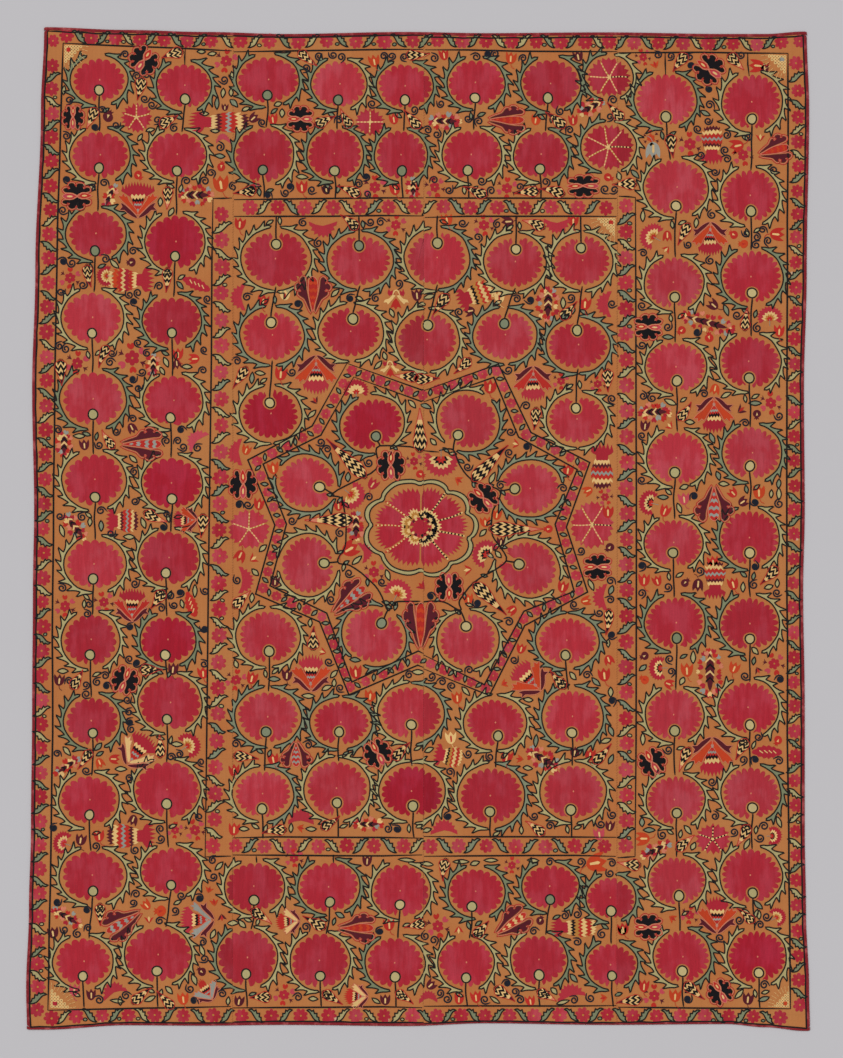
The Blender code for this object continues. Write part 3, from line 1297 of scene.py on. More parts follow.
# the rosettes, read off the chart: (across, down, width, height, eye across, eye down)
LEFT_OUTER = (
    (99, 80, 52, 42, 99, 90),
    (100, 155, 55, 47, 99, 168),
    (96, 234, 55, 45, 95, 251),
    (92.5, 318, 57, 51, 92, 333),
    (93, 399, 61, 52, 93, 414.5),
    (94, 480, 59, 51, 95, 497),
    (95, 564, 57, 48, 93, 579),
    (90.5, 640, 53, 50, 90, 655),
    (92, 721, 51, 47, 93, 733),
    (89, 800, 55, 48, 89.5, 815),
    (93, 876, 62, 49, 93, 891),
    (83, 962, 55, 46, 83, 976),
)
LEFT_INNER = (
    (184, 86, 53, 44, 185, 99),
    (177, 155, 57, 45, 177, 171),
    (175, 242, 58, 53, 175, 256),
    (172, 321, 57, 48, 172, 333),
    (173, 401, 58, 49, 170.5, 417.5),
    (172, 483, 59, 50, 172, 499),
    (169, 558, 60, 52, 166, 573),
    (168, 640, 54, 47, 165.5, 655),
    (170, 703, 62, 53, 167, 719),
    (167, 790, 65, 55, 166.5, 804),
    (171, 871, 59, 46, 171, 885),
    (158, 955, 65, 55, 157, 971),
)
TOP_PAIRS = (
    ((268, 80, 60, 46, 267.5, 95), (264, 155, 57, 54, 263, 170)),
    ((339, 84, 53, 45, 338, 100), (335, 154, 54, 49, 334.5, 171)),
    ((405, 86, 54, 43, 405, 100), (401, 155, 50, 48, 402, 171)),
    ((476, 83, 55, 46, 475, 98), (472, 155, 57, 50, 468, 170.5)),
    ((551, 84, 57, 49, 548, 98), (541, 155, 52, 47, 540, 169)),
)
RIGHT_INNER = (
    (665.5, 100, 60, 51, 666, 117),
    (676, 187.5, 62, 54, 676, 206),
    (674, 283, 57, 50, 674.6, 297),
    (676, 367, 59, 49, 677, 381),
    (677, 458, 58, 52, 675, 472.5),
    (673.6, 543, 56, 47, 673, 553),
    (675, 623, 58, 51, 677, 638),
    (674.5, 715, 56, 50, 674.5, 731),
    (675.5, 800, 56, 48, 676.6, 813),
    (677, 881, 55, 48, 679, 896),
    (682, 957, 55, 51, 682.5, 971),
)
RIGHT_OUTER = (
    (752, 102, 58, 54, 752, 119),
    (750, 196, 56, 51, 751, 211),
    (752, 277, 59, 52, 752, 293),
    (750, 362, 59, 51, 749, 378),
    (752, 453, 57, 51, 750, 466),
    (749.5, 538, 57, 55, 750, 553),
    (749.5, 624, 57, 52, 750, 639),
    (748.6, 708, 58, 52, 750, 725),
    (751, 793.5, 57, 51, 752.6, 808),
    (751, 876, 60, 53, 752.6, 893),
    (757, 957, 56, 52, 759, 973),
)
BOTTOM_PAIRS = (
    ((254.5, 887, 57, 49, 254, 900), (247, 958, 58, 56, 246, 974)),
    ((329, 887, 59, 49, 330, 902), (320, 961, 57, 53, 320, 976)),
    ((401, 891, 56, 51, 400, 905), (395, 963, 57, 49, 395, 977)),
    ((476.5, 892, 54, 46, 472, 906.5), (466, 963, 53, 48, 466, 978)),
    ((550.5, 887, 54, 44, 550, 899.5), (539, 960, 54, 50, 539, 975)),
    ((611, 898, 47, 41, 611.4, 911), (611.5, 965, 49, 42, 612, 975.7)),
)
FIELD_TOP = (
    ((276, 259, 64, 54, 276, 244), (272, 335.5, 58, 49, 271, 322.5), (270.5, 414, 56, 48, 269.6, 403)),
    ((360, 260.5, 60, 49, 359, 246), (351, 332, 59, 48, 353, 319)),
    ((437, 258, 59, 53, 437.5, 243), (427.5, 340, 58, 53, 428, 325)),
    ((515, 262, 56, 50, 516, 249.5), (505, 335.5, 58, 47, 504.5, 323.6)),
    ((582, 261, 55, 49, 581, 248), (578, 345, 58, 47, 577, 330.5), (577, 419.5, 55, 47, 576, 408)),
)
FIELD_BOTTOM = (
    ((268, 637, 58, 50, 269, 651), (268, 717, 60, 50, 266, 732), (263, 794, 55, 46, 262, 809)),
    ((341, 723, 56, 43, 339, 732), (337, 789, 60, 55, 337, 803)),
    ((411, 713, 60, 51, 411.5, 725), (412, 791.5, 60, 51, 413, 806)),
    ((495, 723, 57, 46, 498, 736), (491, 796, 61, 56, 490, 812)),
    ((567.5, 641, 57, 46, 565.5, 655), (572.5, 717, 55, 53, 572, 733), (573, 792, 60, 52, 571, 810)),
)
STAR_EIGHT = (
    (372, 424, 59, 49, 376, 436.5),
    (468, 421, 58, 52, 458, 435),
    (307, 483, 54, 51, 319.5, 487),
    (308, 565, 51, 57, 324, 563),
    (530, 488.5, 57, 51, 515, 489),
    (528, 568, 57, 52, 519, 564),
    (374, 636, 60, 51, 381.6, 623),
    (468, 640, 56, 51, 466, 626.5),
)
STAR_JOINTS = (
    (380, 446), (453, 449.5), (333, 493), (338, 562), (500, 491), (506, 561), (388, 610), (460, 610),
)


def work_rosettes():
    left = {"depth": 4.0, "dye": "crimson", "leaves": ("sage", "sage", "green"), "halo": 5.7}
    greener = {**left, "leaves": ("green", "green", "sage")}
    rosettes_down(LEFT_OUTER, 1008, teeth=19, **left)
    rosettes_down(LEFT_INNER, 1007, teeth=19, away=(1.2, 3.6), **left)
    for column in TOP_PAIRS:
        rosettes_down(column, 198, teeth=20, away=(1.6, 3.2), **greener)
    right = {"teeth": 25, "depth": 5.0, "leaves": ("sage", "sage", "green")}
    rosettes_down(RIGHT_INNER, 1007, dye="rose", away=(1.6, 3.0), **right)
    rosettes_down(RIGHT_OUTER, 1008, dye="crimson", away=(1.6, 3.8), **right)
    for column in BOTTOM_PAIRS:
        rosettes_down(column, 1007, teeth=20, away=(1.8, 3.2), **greener)
    field = {"teeth": 24, "depth": 4.6, "dye": "faded rose", "away": (3.4, 4.4)}
    field["leaves"] = ("sage", "sage", "teal")
    field["openings"] = (-97, -263, 86, -80)
    for column in FIELD_TOP:
        rosettes_up(column, 216, **field)
    for column in FIELD_BOTTOM:
        rosettes_down(column, 838, **field)
    for row, joint in zip(STAR_EIGHT, STAR_JOINTS):
        x, y, wide, tall, ex, ey = row
        turn = math.degrees(math.atan2(y - ey, ex - x)) + 90
        upright = abs(math.cos(math.radians(turn)))
        sizes = (wide, tall) if upright > 0.7 else (tall, wide)
        field["dye"] = "rose"
        field["openings"] = (-105, -262, 72, -75)
        rosette((x, y, *sizes, ex, ey), turn=turn, grows="up", stem=joint, **field)


def work_borders():
    dyes = ("crimson", "rose")
    sage = ("green", "sage")
    left = (
        (52.7, 65.4, 0), (49.6, 233.5, 7), (48.5, 270, 8.49), (43.5, 540, 19.46), (39.8, 845.8, 32),
        (37.5, 964, 37), (37.4, 1009.9, 39),
    )
    top = (
        (67, 36, 0), (91, 37.6, 1), (211.6, 41, 6), (240.8, 41.6, 7), (412.9, 40.6, 13),
        (437.6, 40.6, 14), (606, 42.2, 20.86), (759, 44, 27.08), (781.5, 42, 28),
    )
    right = (
        (796.2, 63.7, 0), (798.4, 117.6, 2), (797.8, 190.5, 5), (796.6, 237.2, 7), (794.2, 363.7, 12),
        (794.4, 533.9, 19), (793.4, 583, 21), (794.8, 780, 28.97), (798.2, 955.6, 36), (799.5, 1005, 38),
    )
    bottom = (
        (52, 1018.6, 0), (76, 1016, 1), (155, 1015, 4), (212.4, 1015.8, 6), (300, 1016, 9),
        (412.3, 1016, 13), (607.8, 1015, 21), (754, 1017, 27), (780, 1018, 28),
    )
    border(left, 1.1, dyes, sage, -14, 0.92)
    border(top, 1.08, dyes, sage, 0, 0.92, rising=1)
    border(right, 1.02, dyes, sage, -14, 0.86)
    border_flower(799.5, 41, 1.0, "crimson")
    border_flower(53.2, 40.7, 0.9, "crimson")
    border(bottom, 1.08, dyes, sage, 0, 0.92)
    pale = ("rose", "crimson")
    field_left = ((222, 214.5, 0), (221, 400, 7.05), (218, 700, 18.45), (213, 846, 24))
    field_right = ((626, 206, 0), (626.5, 534, 12.8), (626, 846, 25))
    field_top = ((250, 207.5, 0), (415.5, 207, 6), (606, 207.5, 13))
    field_bottom = ((236.4, 846, 0), (318, 846, 3), (403, 846, 6), (485.7, 846, 9), (604, 846.5, 13))
    border(field_left, 1.15, pale, ("sage", "teal"), -14, 1.0)
    border(field_right, 1.15, pale, ("teal", "sage"), -14, 1.0)
    border(field_top, 1.1, pale, ("teal", "sage"), 0, 1.0)
    border(field_bottom, 1.1, pale, ("teal", "sage"), 0, 1.0)


def work_frames():
    sides = ((63, 43), (56.5, 270), (53, 540), (52, 780), (48, 1010.5))
    line(CHART, sides, "ink", 2.0, soft=5)
    line(CHART, ((788, 53), (787.5, 270), (787, 540), (788, 780), (790.5, 1008.5)), "ink", 2.0, soft=5)
    for run in (
        ((185, 49), (185, 65)),
        ((665, 53), (665.7, 75)),
        ((747.4, 53), (749, 76)),
        ((256.6, 856), (256.6, 863)),
        ((333.7, 855), (333.7, 863)),
        ((63, 43), (120, 45.6), (180, 48), (232, 51)),
        ((234, 52), (330, 50), (423, 49)),
        ((425, 49.5), (520, 51), (617, 51.6)),
        ((619, 52.6), (700, 52.4), (788, 53)),
        ((48, 1010.5), (140, 1008.5), (231, 1006.5)),
        ((233, 1008), (330, 1007), (422, 1007.5)),
        ((424, 1006), (520, 1006), (616, 1006)),
        ((618, 1007.5), (700, 1008), (790.5, 1008.5)),
        ((213, 198.5), (232, 198)),
        ((234, 199.5), (330, 198.5), (423, 198)),
        ((425, 197.5), (520, 198), (617, 198.5)),
        ((619, 196.5), (635.4, 197)),
        ((635.5, 197), (636, 400), (636.5, 600), (635, 857)),
        ((213, 198.5), (211, 360), (208, 600), (205, 857)),
        ((205, 857), (231, 856)),
        ((233, 855), (330, 856), (422, 855)),
        ((424, 856.5), (520, 855.5), (616, 856)),
        ((618, 857.5), (635, 857)),
        ((234, 216.5), (330, 216), (423, 215.5)),
        ((425, 217), (520, 216), (616, 216.5)),
        ((233, 837.5), (330, 837), (422, 838)),
        ((424, 836.5), (520, 837), (616, 837.5)),
    ):
        line(CHART, run, "ink", 1.85, soft=2)


# the motifs: (across, down, turn), the turn counted anticlockwise from tip upwards
ALMONDS = (
    (172, 54, 105), (140, 89, 172), (91, 118, 155), (169, 121, -68), (168, 198, 180), (307, 59, -135),
    (325, 120, -60), (345, 119, 40), (412, 119, 40), (418, 55, -90), (245, 191, 90), (349, 190, 65),
    (556, 119, 45), (615, 111, 45), (475, 191, 65), (527, 192, 95), (552, 190, 70), (624, 184, 90),
    (679, 62, 135), (736, 62, -135), (671, 146, 180), (683, 234, 150), (87.5, 276, 180),
    (167.5, 280, 180), (61, 373, 180), (102, 356, 150), (107, 440, 40), (155, 518, -120), (203, 526, 180),
    (158, 600, 150), (78, 680, -40), (151, 670, -90), (85, 760, 150), (160, 746, 0), (100, 915, 180),
    (141, 995, -45), (165, 1000, 45), (350, 221, 45), (534, 223, 65), (440, 304, 140), (569, 310, -40),
    (240, 378, 150), (406, 377, 90), (427, 379, -90), (463, 367, 140), (607.5, 381, 180), (536, 419, 180),
    (242, 599, -45), (609, 622, 180), (313, 638, 0), (557, 680, 45), (246, 756, -90), (401, 751, -45),
    (603, 754, -45), (274, 830, 90), (331, 823, -60), (536, 827, 45), (745, 319, 0), (686, 412, -45),
    (769, 576, 135), (683, 759, 150), (741, 749, 150), (685, 842, -45), (743, 836, 150), (629, 865, 90),
    (746, 915, 45), (694, 992, -135), (629, 1000, 90), (262, 916, -120), (314, 922, 60), (415, 924, 90),
    (260, 997, 90), (333, 998, -120), (405, 997, -120), (443, 869.5, 165), (482, 929, -45),
    (505, 994, -120), (547, 996, -120),
)
LONG_ALMONDS = (
    # (across, down, turn, length)
    (419.8, 430, 0, 43), (346, 458, 45, 55), (329, 520, 90, 48), (490, 463, -45, 50), (516, 529, -90, 53),
    (490, 599, -135, 46),
)
BLACK_CALYXES = (
    # (across, down, turn, length, width)
    (144, 60, -35, 27, 28), (73, 117, 0, 24, 20), (77, 196, -90, 30, 26), (300, 119, 90, 26, 24),
    (709, 69, 55, 30, 28), (583, 186, 90, 32, 21), (125, 680, -20, 28, 25), (648, 327, 90, 28, 24),
    (391, 465, 0, 30, 26), (243, 484, 0, 30, 26), (483, 498, 45, 28, 26), (449, 587, 180, 28, 26),
    (597, 567, 90, 28, 24), (377.5, 753, 30, 28, 26), (652, 762, 30, 28, 26), (648, 927, 90, 28, 24),
    (720, 992, 30, 25, 24),
)
MAROON_CALYXES = (
    (506, 120, 90, 36, 27), (774, 150.5, 105, 31, 28), (141, 444, 90, 41, 30), (124, 922, -60, 40, 30),
    (313, 295, 180, 37, 34), (420.6, 626, 180, 47, 33), (296, 754, 0, 25, 30), (714, 503, 0, 36, 37),
    (356, 928, 90, 36, 28), (511, 924, 125, 37, 28), (349, 600, 130, 42, 30),
)
CARNATIONS = (
    # (across, down, turn, size, dye of the petals, dye of the fan, half width of the fan)
    (138, 200, 0, 0.95, "orange", "crimson", 18), (316, 375, 180, 1.02, "orange", "rose", 13),
    (533, 384, 180, 0.94, "red", "rose", 13), (710, 239, 180, 0.88, "orange", "crimson", 14),
    (185, 520, 90, 0.66, "orange", "crimson", 14), (132, 605, 0, 0.88, "red", "crimson", 15),
    (138, 751, -38, 0.96, "cream", "crimson", 16), (197, 920, 90, 0.90, "grey", "rose", 15),
    (311, 673, 0, 0.96, "orange", "rose", 13), (528, 678, 45, 0.96, "orange", "rose", 13),
    (714, 415, 180, 0.96, "orange", "crimson", 12), (712, 757, 180, 1.04, "orange", "crimson", 12),
    (717, 915, 0, 0.96, "orange", "crimson", 12), (288, 921.5, 90, 0.64, "cream", "red", 13),
    (356, 996.5, 90, 0.62, "cream", "red", 13), (206, 990, 35, 0.66, "grey", "red", 6),
)
HALF_FANS = (
    # (across, down, turn, width, dye, dye of the band round its heart)
    (650, 235, 60, 28, "rose", "ochre"), (104, 276, 90, 22, "crimson", "ochre"),
    (197, 440, 45, 24, "pink", None), (191, 744, -60, 27, "crimson", "ochre"),
    (61, 842, 70, 24, "crimson", "pink"), (114, 992, 22, 25, "rose", None),
    (323, 226, 180, 28, "rose", None), (557, 223, 180, 26, "rose", None),
    (241, 297, 90, 26, "rose", None), (607, 304, 90, 26, "rose", None), (238, 452, 90, 26, "rose", None),
    (441, 464, 180, 36, "rose", "black"), (354, 497, -125, 30, "rose", "ochre"),
    (364, 552, -75, 20, "rose", None), (399, 590, -25, 30, "rose", "ochre"),
    (483, 552, 55, 30, "rose", "black"), (243, 580, -90, 26, "rose", None),
    (603, 597, 90, 26, "rose", None), (301, 820, 0, 26, "rose", None), (444, 830, 0, 26, "rose", None),
    (770, 315, 0, 26, "rose", "ochre"), (647.5, 502, 75, 26, "crimson", "black"),
    (657, 668, 90, 25, "crimson", "black"), (775, 836, -90, 20, "crimson", "black"),
    (779, 916, -60, 20, "crimson", "ochre"), (428.5, 998, 0, 18, "rose", None),
    (571, 995, 15, 28, "rose", None), (356, 388, 0, 26, "crimson", "cream"),
    (223, 139, 0, 14, "pink", None),
)
DASHED_LEAVES = (
    # (across, down, turn, length, width, dye)
    (196, 284, 65, 30, 12, "crimson"), (767, 752, 90, 30, 13, "crimson"), (191, 604, 20, 26, 12, "red"),
)
BARRELS = (
    # (across, down, turn, length, width, which set of bands)
    (219, 122, 90, 60, 19, 0), (130.5, 280, -90, 46, 22, 2), (122, 521, 90, 32, 22, 0),
    (131, 836, -90, 48, 22, 0), (475, 295, 112, 38, 22, 1), (602, 466, 0, 45, 21, 0),
    (448, 756, 80, 28, 20, 1), (712, 145, 180, 38, 20, 0), (715, 580, 180, 38, 20, 0),
    (573.5, 927.5, 90, 46, 18, 1),
)
FLOWERS = (
    # (across, down, size)
    (226, 61, 1.0), (375, 187, 1.0), (435, 187, 0.9), (507, 188, 0.9), (690, 144, 1.0), (743, 155, 0.9),
    (70, 278, 0.9), (77, 363, 1.0), (132, 358, 1.25), (65, 606, 0.9), (104, 602, 0.9), (195, 830, 0.9),
    (396, 225, 0.9), (484, 225, 0.9), (374, 572, 0.9), (236, 680, 0.9), (771, 403, 0.95),
    (774, 664, 0.95), (654, 996, 0.95), (294, 858, 0.8), (438, 926, 1.0), (284, 995, 0.9), (643, 57, 0.7),
    (175, 830, 0.7), (561, 381, 0.7), (598, 384, 0.7), (690, 915, 0.8), (512, 865, 0.7), (253, 187, 0.6),
)
FLAMES = (
    # (across, down, turn, length, width)
    (196, 195, 90, 36, 22), (413, 188, 0, 22, 16), (445, 121, 90, 34, 18), (591, 107, -65, 30, 17),
    (153, 365, 0, 24, 16), (64, 444, 0, 28, 18), (75, 527, 40, 34, 18), (67, 917, 60, 36, 16),
    (548, 304, 0, 36, 24), (356, 526, 0, 31, 18), (543, 759, 60, 38, 21), (367.5, 824, 90, 32, 15),
    (708, 322.5, 75, 57, 20), (655, 412, 90, 34, 20), (710, 673, 0, 50, 27), (656, 849.5, -65, 34, 15),
    (67, 766, -55, 31, 13), (110, 196, -25, 28, 13),
)
TULIPS = (
    # (across, down, turn, size, dye)
    (374, 61, 0, 1.0, "orange"), (511, 58, 0, 1.0, "orange"), (444, 55, 0, 0.9, "red"),
    (578, 56, 0, 0.9, "maroon"), (225, 107, 0, 0.6, "maroon"), (254, 118, -40, 0.9, "maroon"),
    (273, 119, 0, 0.9, "red"), (394, 119, 0, 0.9, "red"), (536, 120, 0, 0.9, "orange"),
    (573, 120, 0, 0.9, "red"), (221, 184, 0, 1.4, "orange"), (302, 187, 0, 1.0, "red"),
    (326, 190, 0, 0.8, "maroon"), (395, 189, 0, 1.0, "red"), (757, 66, 90, 1.2, "red"),
    (765, 68, 0, 0.8, "maroon"), (737, 146, 90, 1.2, "red"), (777, 234, -90, 1.2, "red"),
    (84, 445, 0, 0.9, "maroon"), (178, 354, 0, 1.0, "red"), (177, 364, 180, 0.8, "maroon"),
    (194, 359, 90, 0.9, "red"), (59, 680, 0, 1.0, "maroon"), (173, 669, 0, 1.0, "maroon"),
    (203, 673, 0, 1.0, "red"), (81, 840, 0, 1.0, "maroon"), (99, 836, 0, 1.0, "red"),
    (53, 933, 0, 1.0, "maroon"), (74, 990, 0, 1.0, "pink"), (91, 995, 0, 0.9, "maroon"),
    (183, 999, 0, 1.0, "orange"), (240, 224, 0, 1.0, "red"), (447, 220, 0, 1.0, "orange"),
    (507.5, 222, 90, 1.0, "maroon"), (573, 221, 0, 1.0, "red"), (263, 301, 0, 1.0, "red"),
    (285, 295, 0, 0.9, "cream"), (417, 295, 0, 1.0, "maroon"), (499.5, 297, 0, 1.0, "cream"),
    (470, 311, 90, 0.9, "maroon"), (585, 304, 0, 1.1, "red"), (281, 374, 0, 1.1, "red"),
    (490, 386.5, 0, 1.2, "red"), (273, 468, 0, 1.0, "orange"), (568, 470, 0, 1.0, "red"),
    (563, 587, 0, 1.0, "red"), (356, 672, 0, 1.1, "red"), (259, 504, 0, 1.0, "red"),
    (338.5, 506, 0, 0.9, "red"), (497, 515, 0, 0.9, "orange"), (501, 542, 0, 0.8, "maroon"),
    (485, 522, 0, 0.9, "orange"), (468, 599, 0, 0.9, "orange"), (275, 581, 0, 0.9, "maroon"),
    (608, 512, 0, 1.0, "red"), (252, 678, 0, 1.0, "red"), (287, 675, 0, 1.0, "maroon"),
    (370, 696, 0, 1.0, "orange"), (457, 698, 0, 1.0, "orange"), (604, 675, 0, 1.1, "red"),
    (273, 759, 0, 1.0, "red"), (234, 770, 0, 1.0, "red"), (451, 738, 0, 1.0, "cream"),
    (507, 757, 0, 1.1, "red"), (575, 752, 0, 0.9, "maroon"), (590, 755, 0, 1.0, "red"),
    (234, 829, 0, 1.0, "red"), (599, 834, 0, 1.0, "pink"), (610, 826, 0, 0.9, "maroon"),
    (779, 331, 0, 1.0, "red"), (645, 426, 0, 0.9, "maroon"), (684, 499, 0, 1.0, "pink"),
    (759, 492, 0, 1.1, "orange"), (644, 580, 0, 1.1, "red"), (698, 585, 180, 1.0, "maroon"),
    (713, 562, 0, 1.0, "red"), (733, 584, 0, 1.0, "red"), (687, 670, 0, 1.1, "orange"),
    (643, 839, 90, 1.2, "orange"), (623, 929, 0, 1.0, "red"), (644, 986, 0, 1.0, "red"),
    (675, 996, 0, 1.1, "orange"), (748, 999, 0, 1.0, "maroon"), (367, 861, 0, 0.9, "maroon"),
    (389, 925, 0, 1.0, "red"), (239, 1001, 0, 0.9, "maroon"), (385, 1000, 0, 0.9, "maroon"),
    (596, 863, -90, 1.7, "orange"), (622, 931, 0, 0.8, "red"), (459, 999, 0, 0.9, "red"),
    (476, 997, 0, 1.0, "red"), (530, 1001, 0, 0.9, "red"),
)
SMALL_LEAVES = (
    # (across, down, turn, length where it isn't the usual one)
    (407, 860, 90, 17), (427, 864, 80, 14), (461, 862, 90, 16), (491, 860.5, 90, 14),
    (533, 860.5, 90, 12), (117, 1001, 85, 14), (495, 1000, 60, 12), (563, 1002, -70, 13),
    (376, 1001, 60, 10), (201, 52, 90), (212, 53.6, 105), (64, 90, 0), (204, 113.6, 90), (140, 137, -30),
    (150.6, 130, -75), (215, 131, 90), (246, 109, -60), (232, 76, 10), (231, 92, 0), (326, 190, 40),
    (771, 494, 0), (777, 583, 0), (182, 604, 20), (84, 604, 0), (162, 371, 30), (120, 1001, 0),
    (228, 1001, 0), (334, 683, 0), (291, 828, 0), (521, 830, 0), (608, 643, 0), (759, 915, 0),
    (310, 623, 0),
)
CURLS = (
    (69, 100), (102, 110), (95, 127), (116, 125), (157, 120), (174, 128), (137, 76), (146, 75), (66, 136),
    (67, 180), (92, 187), (125, 54), (319, 56), (333, 55), (306, 68), (339, 120), (384, 56), (392, 56),
    (404, 57), (359, 184), (366, 177), (367, 194), (268, 195), (285, 193), (262, 123), (487, 54),
    (495, 54), (523, 58), (468, 119), (441, 104), (434, 180), (520, 187), (610, 117), (658, 55),
    (671, 56), (690, 57), (691, 66), (741, 55), (709, 89), (708, 121), (748, 137), (701, 155), (715, 172),
    (774, 170), (688, 245), (746, 233), (757, 237), (763, 230), (61, 292), (134, 302), (207, 299),
    (112, 353), (59, 346), (138, 343), (147, 353), (133, 379), (138, 388), (204, 350), (203, 370),
    (133, 419), (58, 430), (99, 445), (116, 432), (178, 441), (134, 472), (135, 501), (111, 533),
    (60, 516), (167, 514), (89, 604), (87, 614), (171, 596), (174, 605), (205, 591), (204, 629),
    (130, 627), (129, 659), (204, 664), (69, 681), (86, 685), (107, 686), (127, 700), (129, 712),
    (130, 722), (131, 729), (57, 754), (179, 754), (171, 757), (201, 762), (129, 778), (54, 828),
    (199, 817), (57, 902), (87, 910), (133, 903), (64, 930), (88, 928), (213, 860), (203, 942),
    (194, 1001),
)


def work_motifs():
    for x, y, turn in ALMONDS:
        almond(x, y, turn, chance.uniform(21, 26), chance.uniform(10.2, 12.2), lean=chance.uniform(-3.5, 3.5))
    for x, y, turn, long in LONG_ALMONDS:
        almond(x, y, turn, long, 14.5, bands=round(long * 0.7 / 7.8), teeth=3)
    for x, y, turn, long, wide in BLACK_CALYXES:
        calyx(x, y, turn, long, wide)
    for x, y, turn, long, wide in MAROON_CALYXES:
        calyx(x, y, turn, long, wide, wings="maroon", inside=chance.choice(("cream", "orange", "grey")))
    for x, y, turn, size, bell, fan, spread in CARNATIONS:
        carnation(x, y, turn, size, bell, fan, spread)
    for x, y, turn, wide, dye, core in HALF_FANS:
        half_fan(x, y, turn, wide, dye, core)
    for x, y, turn, long, wide, dye in DASHED_LEAVES:
        dashed_leaf(x, y, turn, long, wide, dye)
    lily(396, 297, 1.0)
    lily(390, 367, 0.8)
    for x, y, turn, long, wide, kind in BARRELS:
        barrel(x, y, turn, long, wide, kind)
    for x, y, size in FLOWERS:
        flower(x, y, chance.uniform(-15, 15), size)
    for x, y, turn, long, wide in FLAMES:
        flame(x, y, turn, long, wide)
    for x, y, turn, size, dye in TULIPS:
        tulip(x, y, turn + chance.uniform(-12, 12), size, dye, "cream" if dye != "cream" else "red")
    tulip(653, 150, 180, 1.35, "grey")
    flower(651, 138, 0, 0.7, "orange", "maroon")
    tulip(350, 549, -60, 1.4, "red")
    pomegranate(161, 911, 90, 1.1)
    pomegranate(108, 117, -25, 1.1, "maroon")
    for row in SMALL_LEAVES:
        small_leaf(*row)
    for x, y in CURLS:
        curl(x, y, chance.choice((0, 90, 180, 270)), 1.0, chance.random() < 0.5)


WHEELS = (
    # (across, down, width, height, spokes, turn, dye, whether a spoke is marked, teeth)
    (136.5, 117.5, 32, 30, 5, 90, "crimson", False, 19),
    (370, 122, 30, 28, 4, 90, "crimson", False, 18),
    (609, 77, 44, 40, 6, 0, "crimson", True, 22),
    (608.5, 147, 51, 46, 7, 0, "crimson", True, 24),
    (249, 529, 42, 40, 5, 90, "rose", False, 20),
    (592, 525, 44, 48, 6, 0, "rose", True, 22),
    (713, 839, 36, 31, 5, 90, "crimson", True, 18),
)


def work_wheels():
    for row in WHEELS[:4]:
        spoked_wheel(*row)
    # the two by the top right corner have wreaths
    for x, y, wide, tall, *rest in WHEELS[2:4]:
        openings = (-106, -262, 76, -62)
        wreath(Spot(x, y), wide / 2 + 2.4, tall / 2 + 2.6, "green", "sage", "round", openings)
    for row in WHEELS[4:]:
        spoked_wheel(*row)


def work_middle():
    medallion(420.6, 527)
    star_band()
    vine((
        (439, 451), (380, 446), (376, 469), (333, 493), (343, 501), (346, 542), (338, 562), (353, 567),
        (377.5, 589), (388, 610), (396, 602), (420, 601.5),
    ))
    vine((
        (439, 451), (453, 449.5), (460, 466), (476, 483), (500, 491), (492, 514), (493, 536), (506, 561),
        (476, 580.5), (460, 600), (460, 610), (440, 601), (410, 604),
    ))
    lattice(63.5, 44.5, 1, 1, 23, "maroon", "red")
    lattice(787, 54, -1, 1, 24, "maroon", "grey")
    lattice(49.6, 1009, 1, -1, 24, "maroon", "crimson")
    lattice(790, 1008, -1, -1, 20, "maroon", "orange")
    lattice(616, 217, -1, 1, 23, "maroon", "red")


WIDEST_ROOM = 12     # in squares
SMALLEST_GAP = 4.1   # the least room that is still filled
MOST_FILLINGS = 1400
# where nothing more is worked: (low across, low down, high across, high down)
KEPT_CLEAR = (
    (0, 0, 58, CHART_TALL),
    (785, 0, CHART_WIDE, CHART_TALL),
    (0, 0, CHART_WIDE, 53),
    (0, 1005, CHART_WIDE, CHART_TALL),
    (203, 196, 638, 218),
    (203, 835, 638, 858),
    (203, 196, 232, 858),
    (617, 196, 638, 858),
)


def worked_squares():
    """Which squares of the chart are taken."""
    taken = np.zeros((CHART_TALL, CHART_WIDE), bool)
    for low_x, low_y, high_x, high_y in KEPT_CLEAR:
        taken[low_y:high_y, low_x:high_x] = True
    for layer, points, dye, width, closed, order in work:
        ends = np.roll(points, -1, axis=0)
        if width is None:
            low = np.maximum(np.floor(points.min(axis=0)).astype(int), 0)
            high = np.ceil(points.max(axis=0)).astype(int) + 1
            high = np.minimum(high, (CHART_WIDE, CHART_TALL))
            across, down = np.meshgrid(np.arange(low[0], high[0]), np.arange(low[1], high[1]))
            inside = np.zeros(across.shape, bool)
            for (x1, y1), (x2, y2) in zip(points, ends):
                if y1 != y2:
                    crosses = (y1 > down) != (y2 > down)
                    inside ^= crosses & (across < (x2 - x1) * (down - y1) / (y2 - y1) + x1)
            taken[low[1]:high[1], low[0]:high[0]] |= inside
            continue
        for (x1, y1), (x2, y2) in zip(points, ends if closed else points[1:]):
            steps = max(2, int(math.hypot(x2 - x1, y2 - y1) * 2))
            across = np.clip(np.linspace(x1, x2, steps).round().astype(int), 0, CHART_WIDE - 1)
            down = np.clip(np.linspace(y1, y2, steps).round().astype(int), 0, CHART_TALL - 1)
            taken[down, across] = True
    return taken


def room_round(taken):
    """How many squares of free cloth lie round each square, counted no further than the widest room."""
    room = np.zeros(taken.shape, int)
    free = ~taken
    for step in range(WIDEST_ROOM):
        room += free
        grown = free.copy()
        grown[1:] &= free[:-1]
        grown[:-1] &= free[1:]
        grown[:, 1:] &= free[:, :-1]
        grown[:, :-1] &= free[:, 1:]
        if step % 2:
            grown[1:, 1:] &= free[:-1, :-1]
            grown[:-1, :-1] &= free[1:, 1:]
            grown[1:, :-1] &= free[:-1, 1:]
            grown[:-1, 1:] &= free[1:, :-1]
        free = grown
    return room


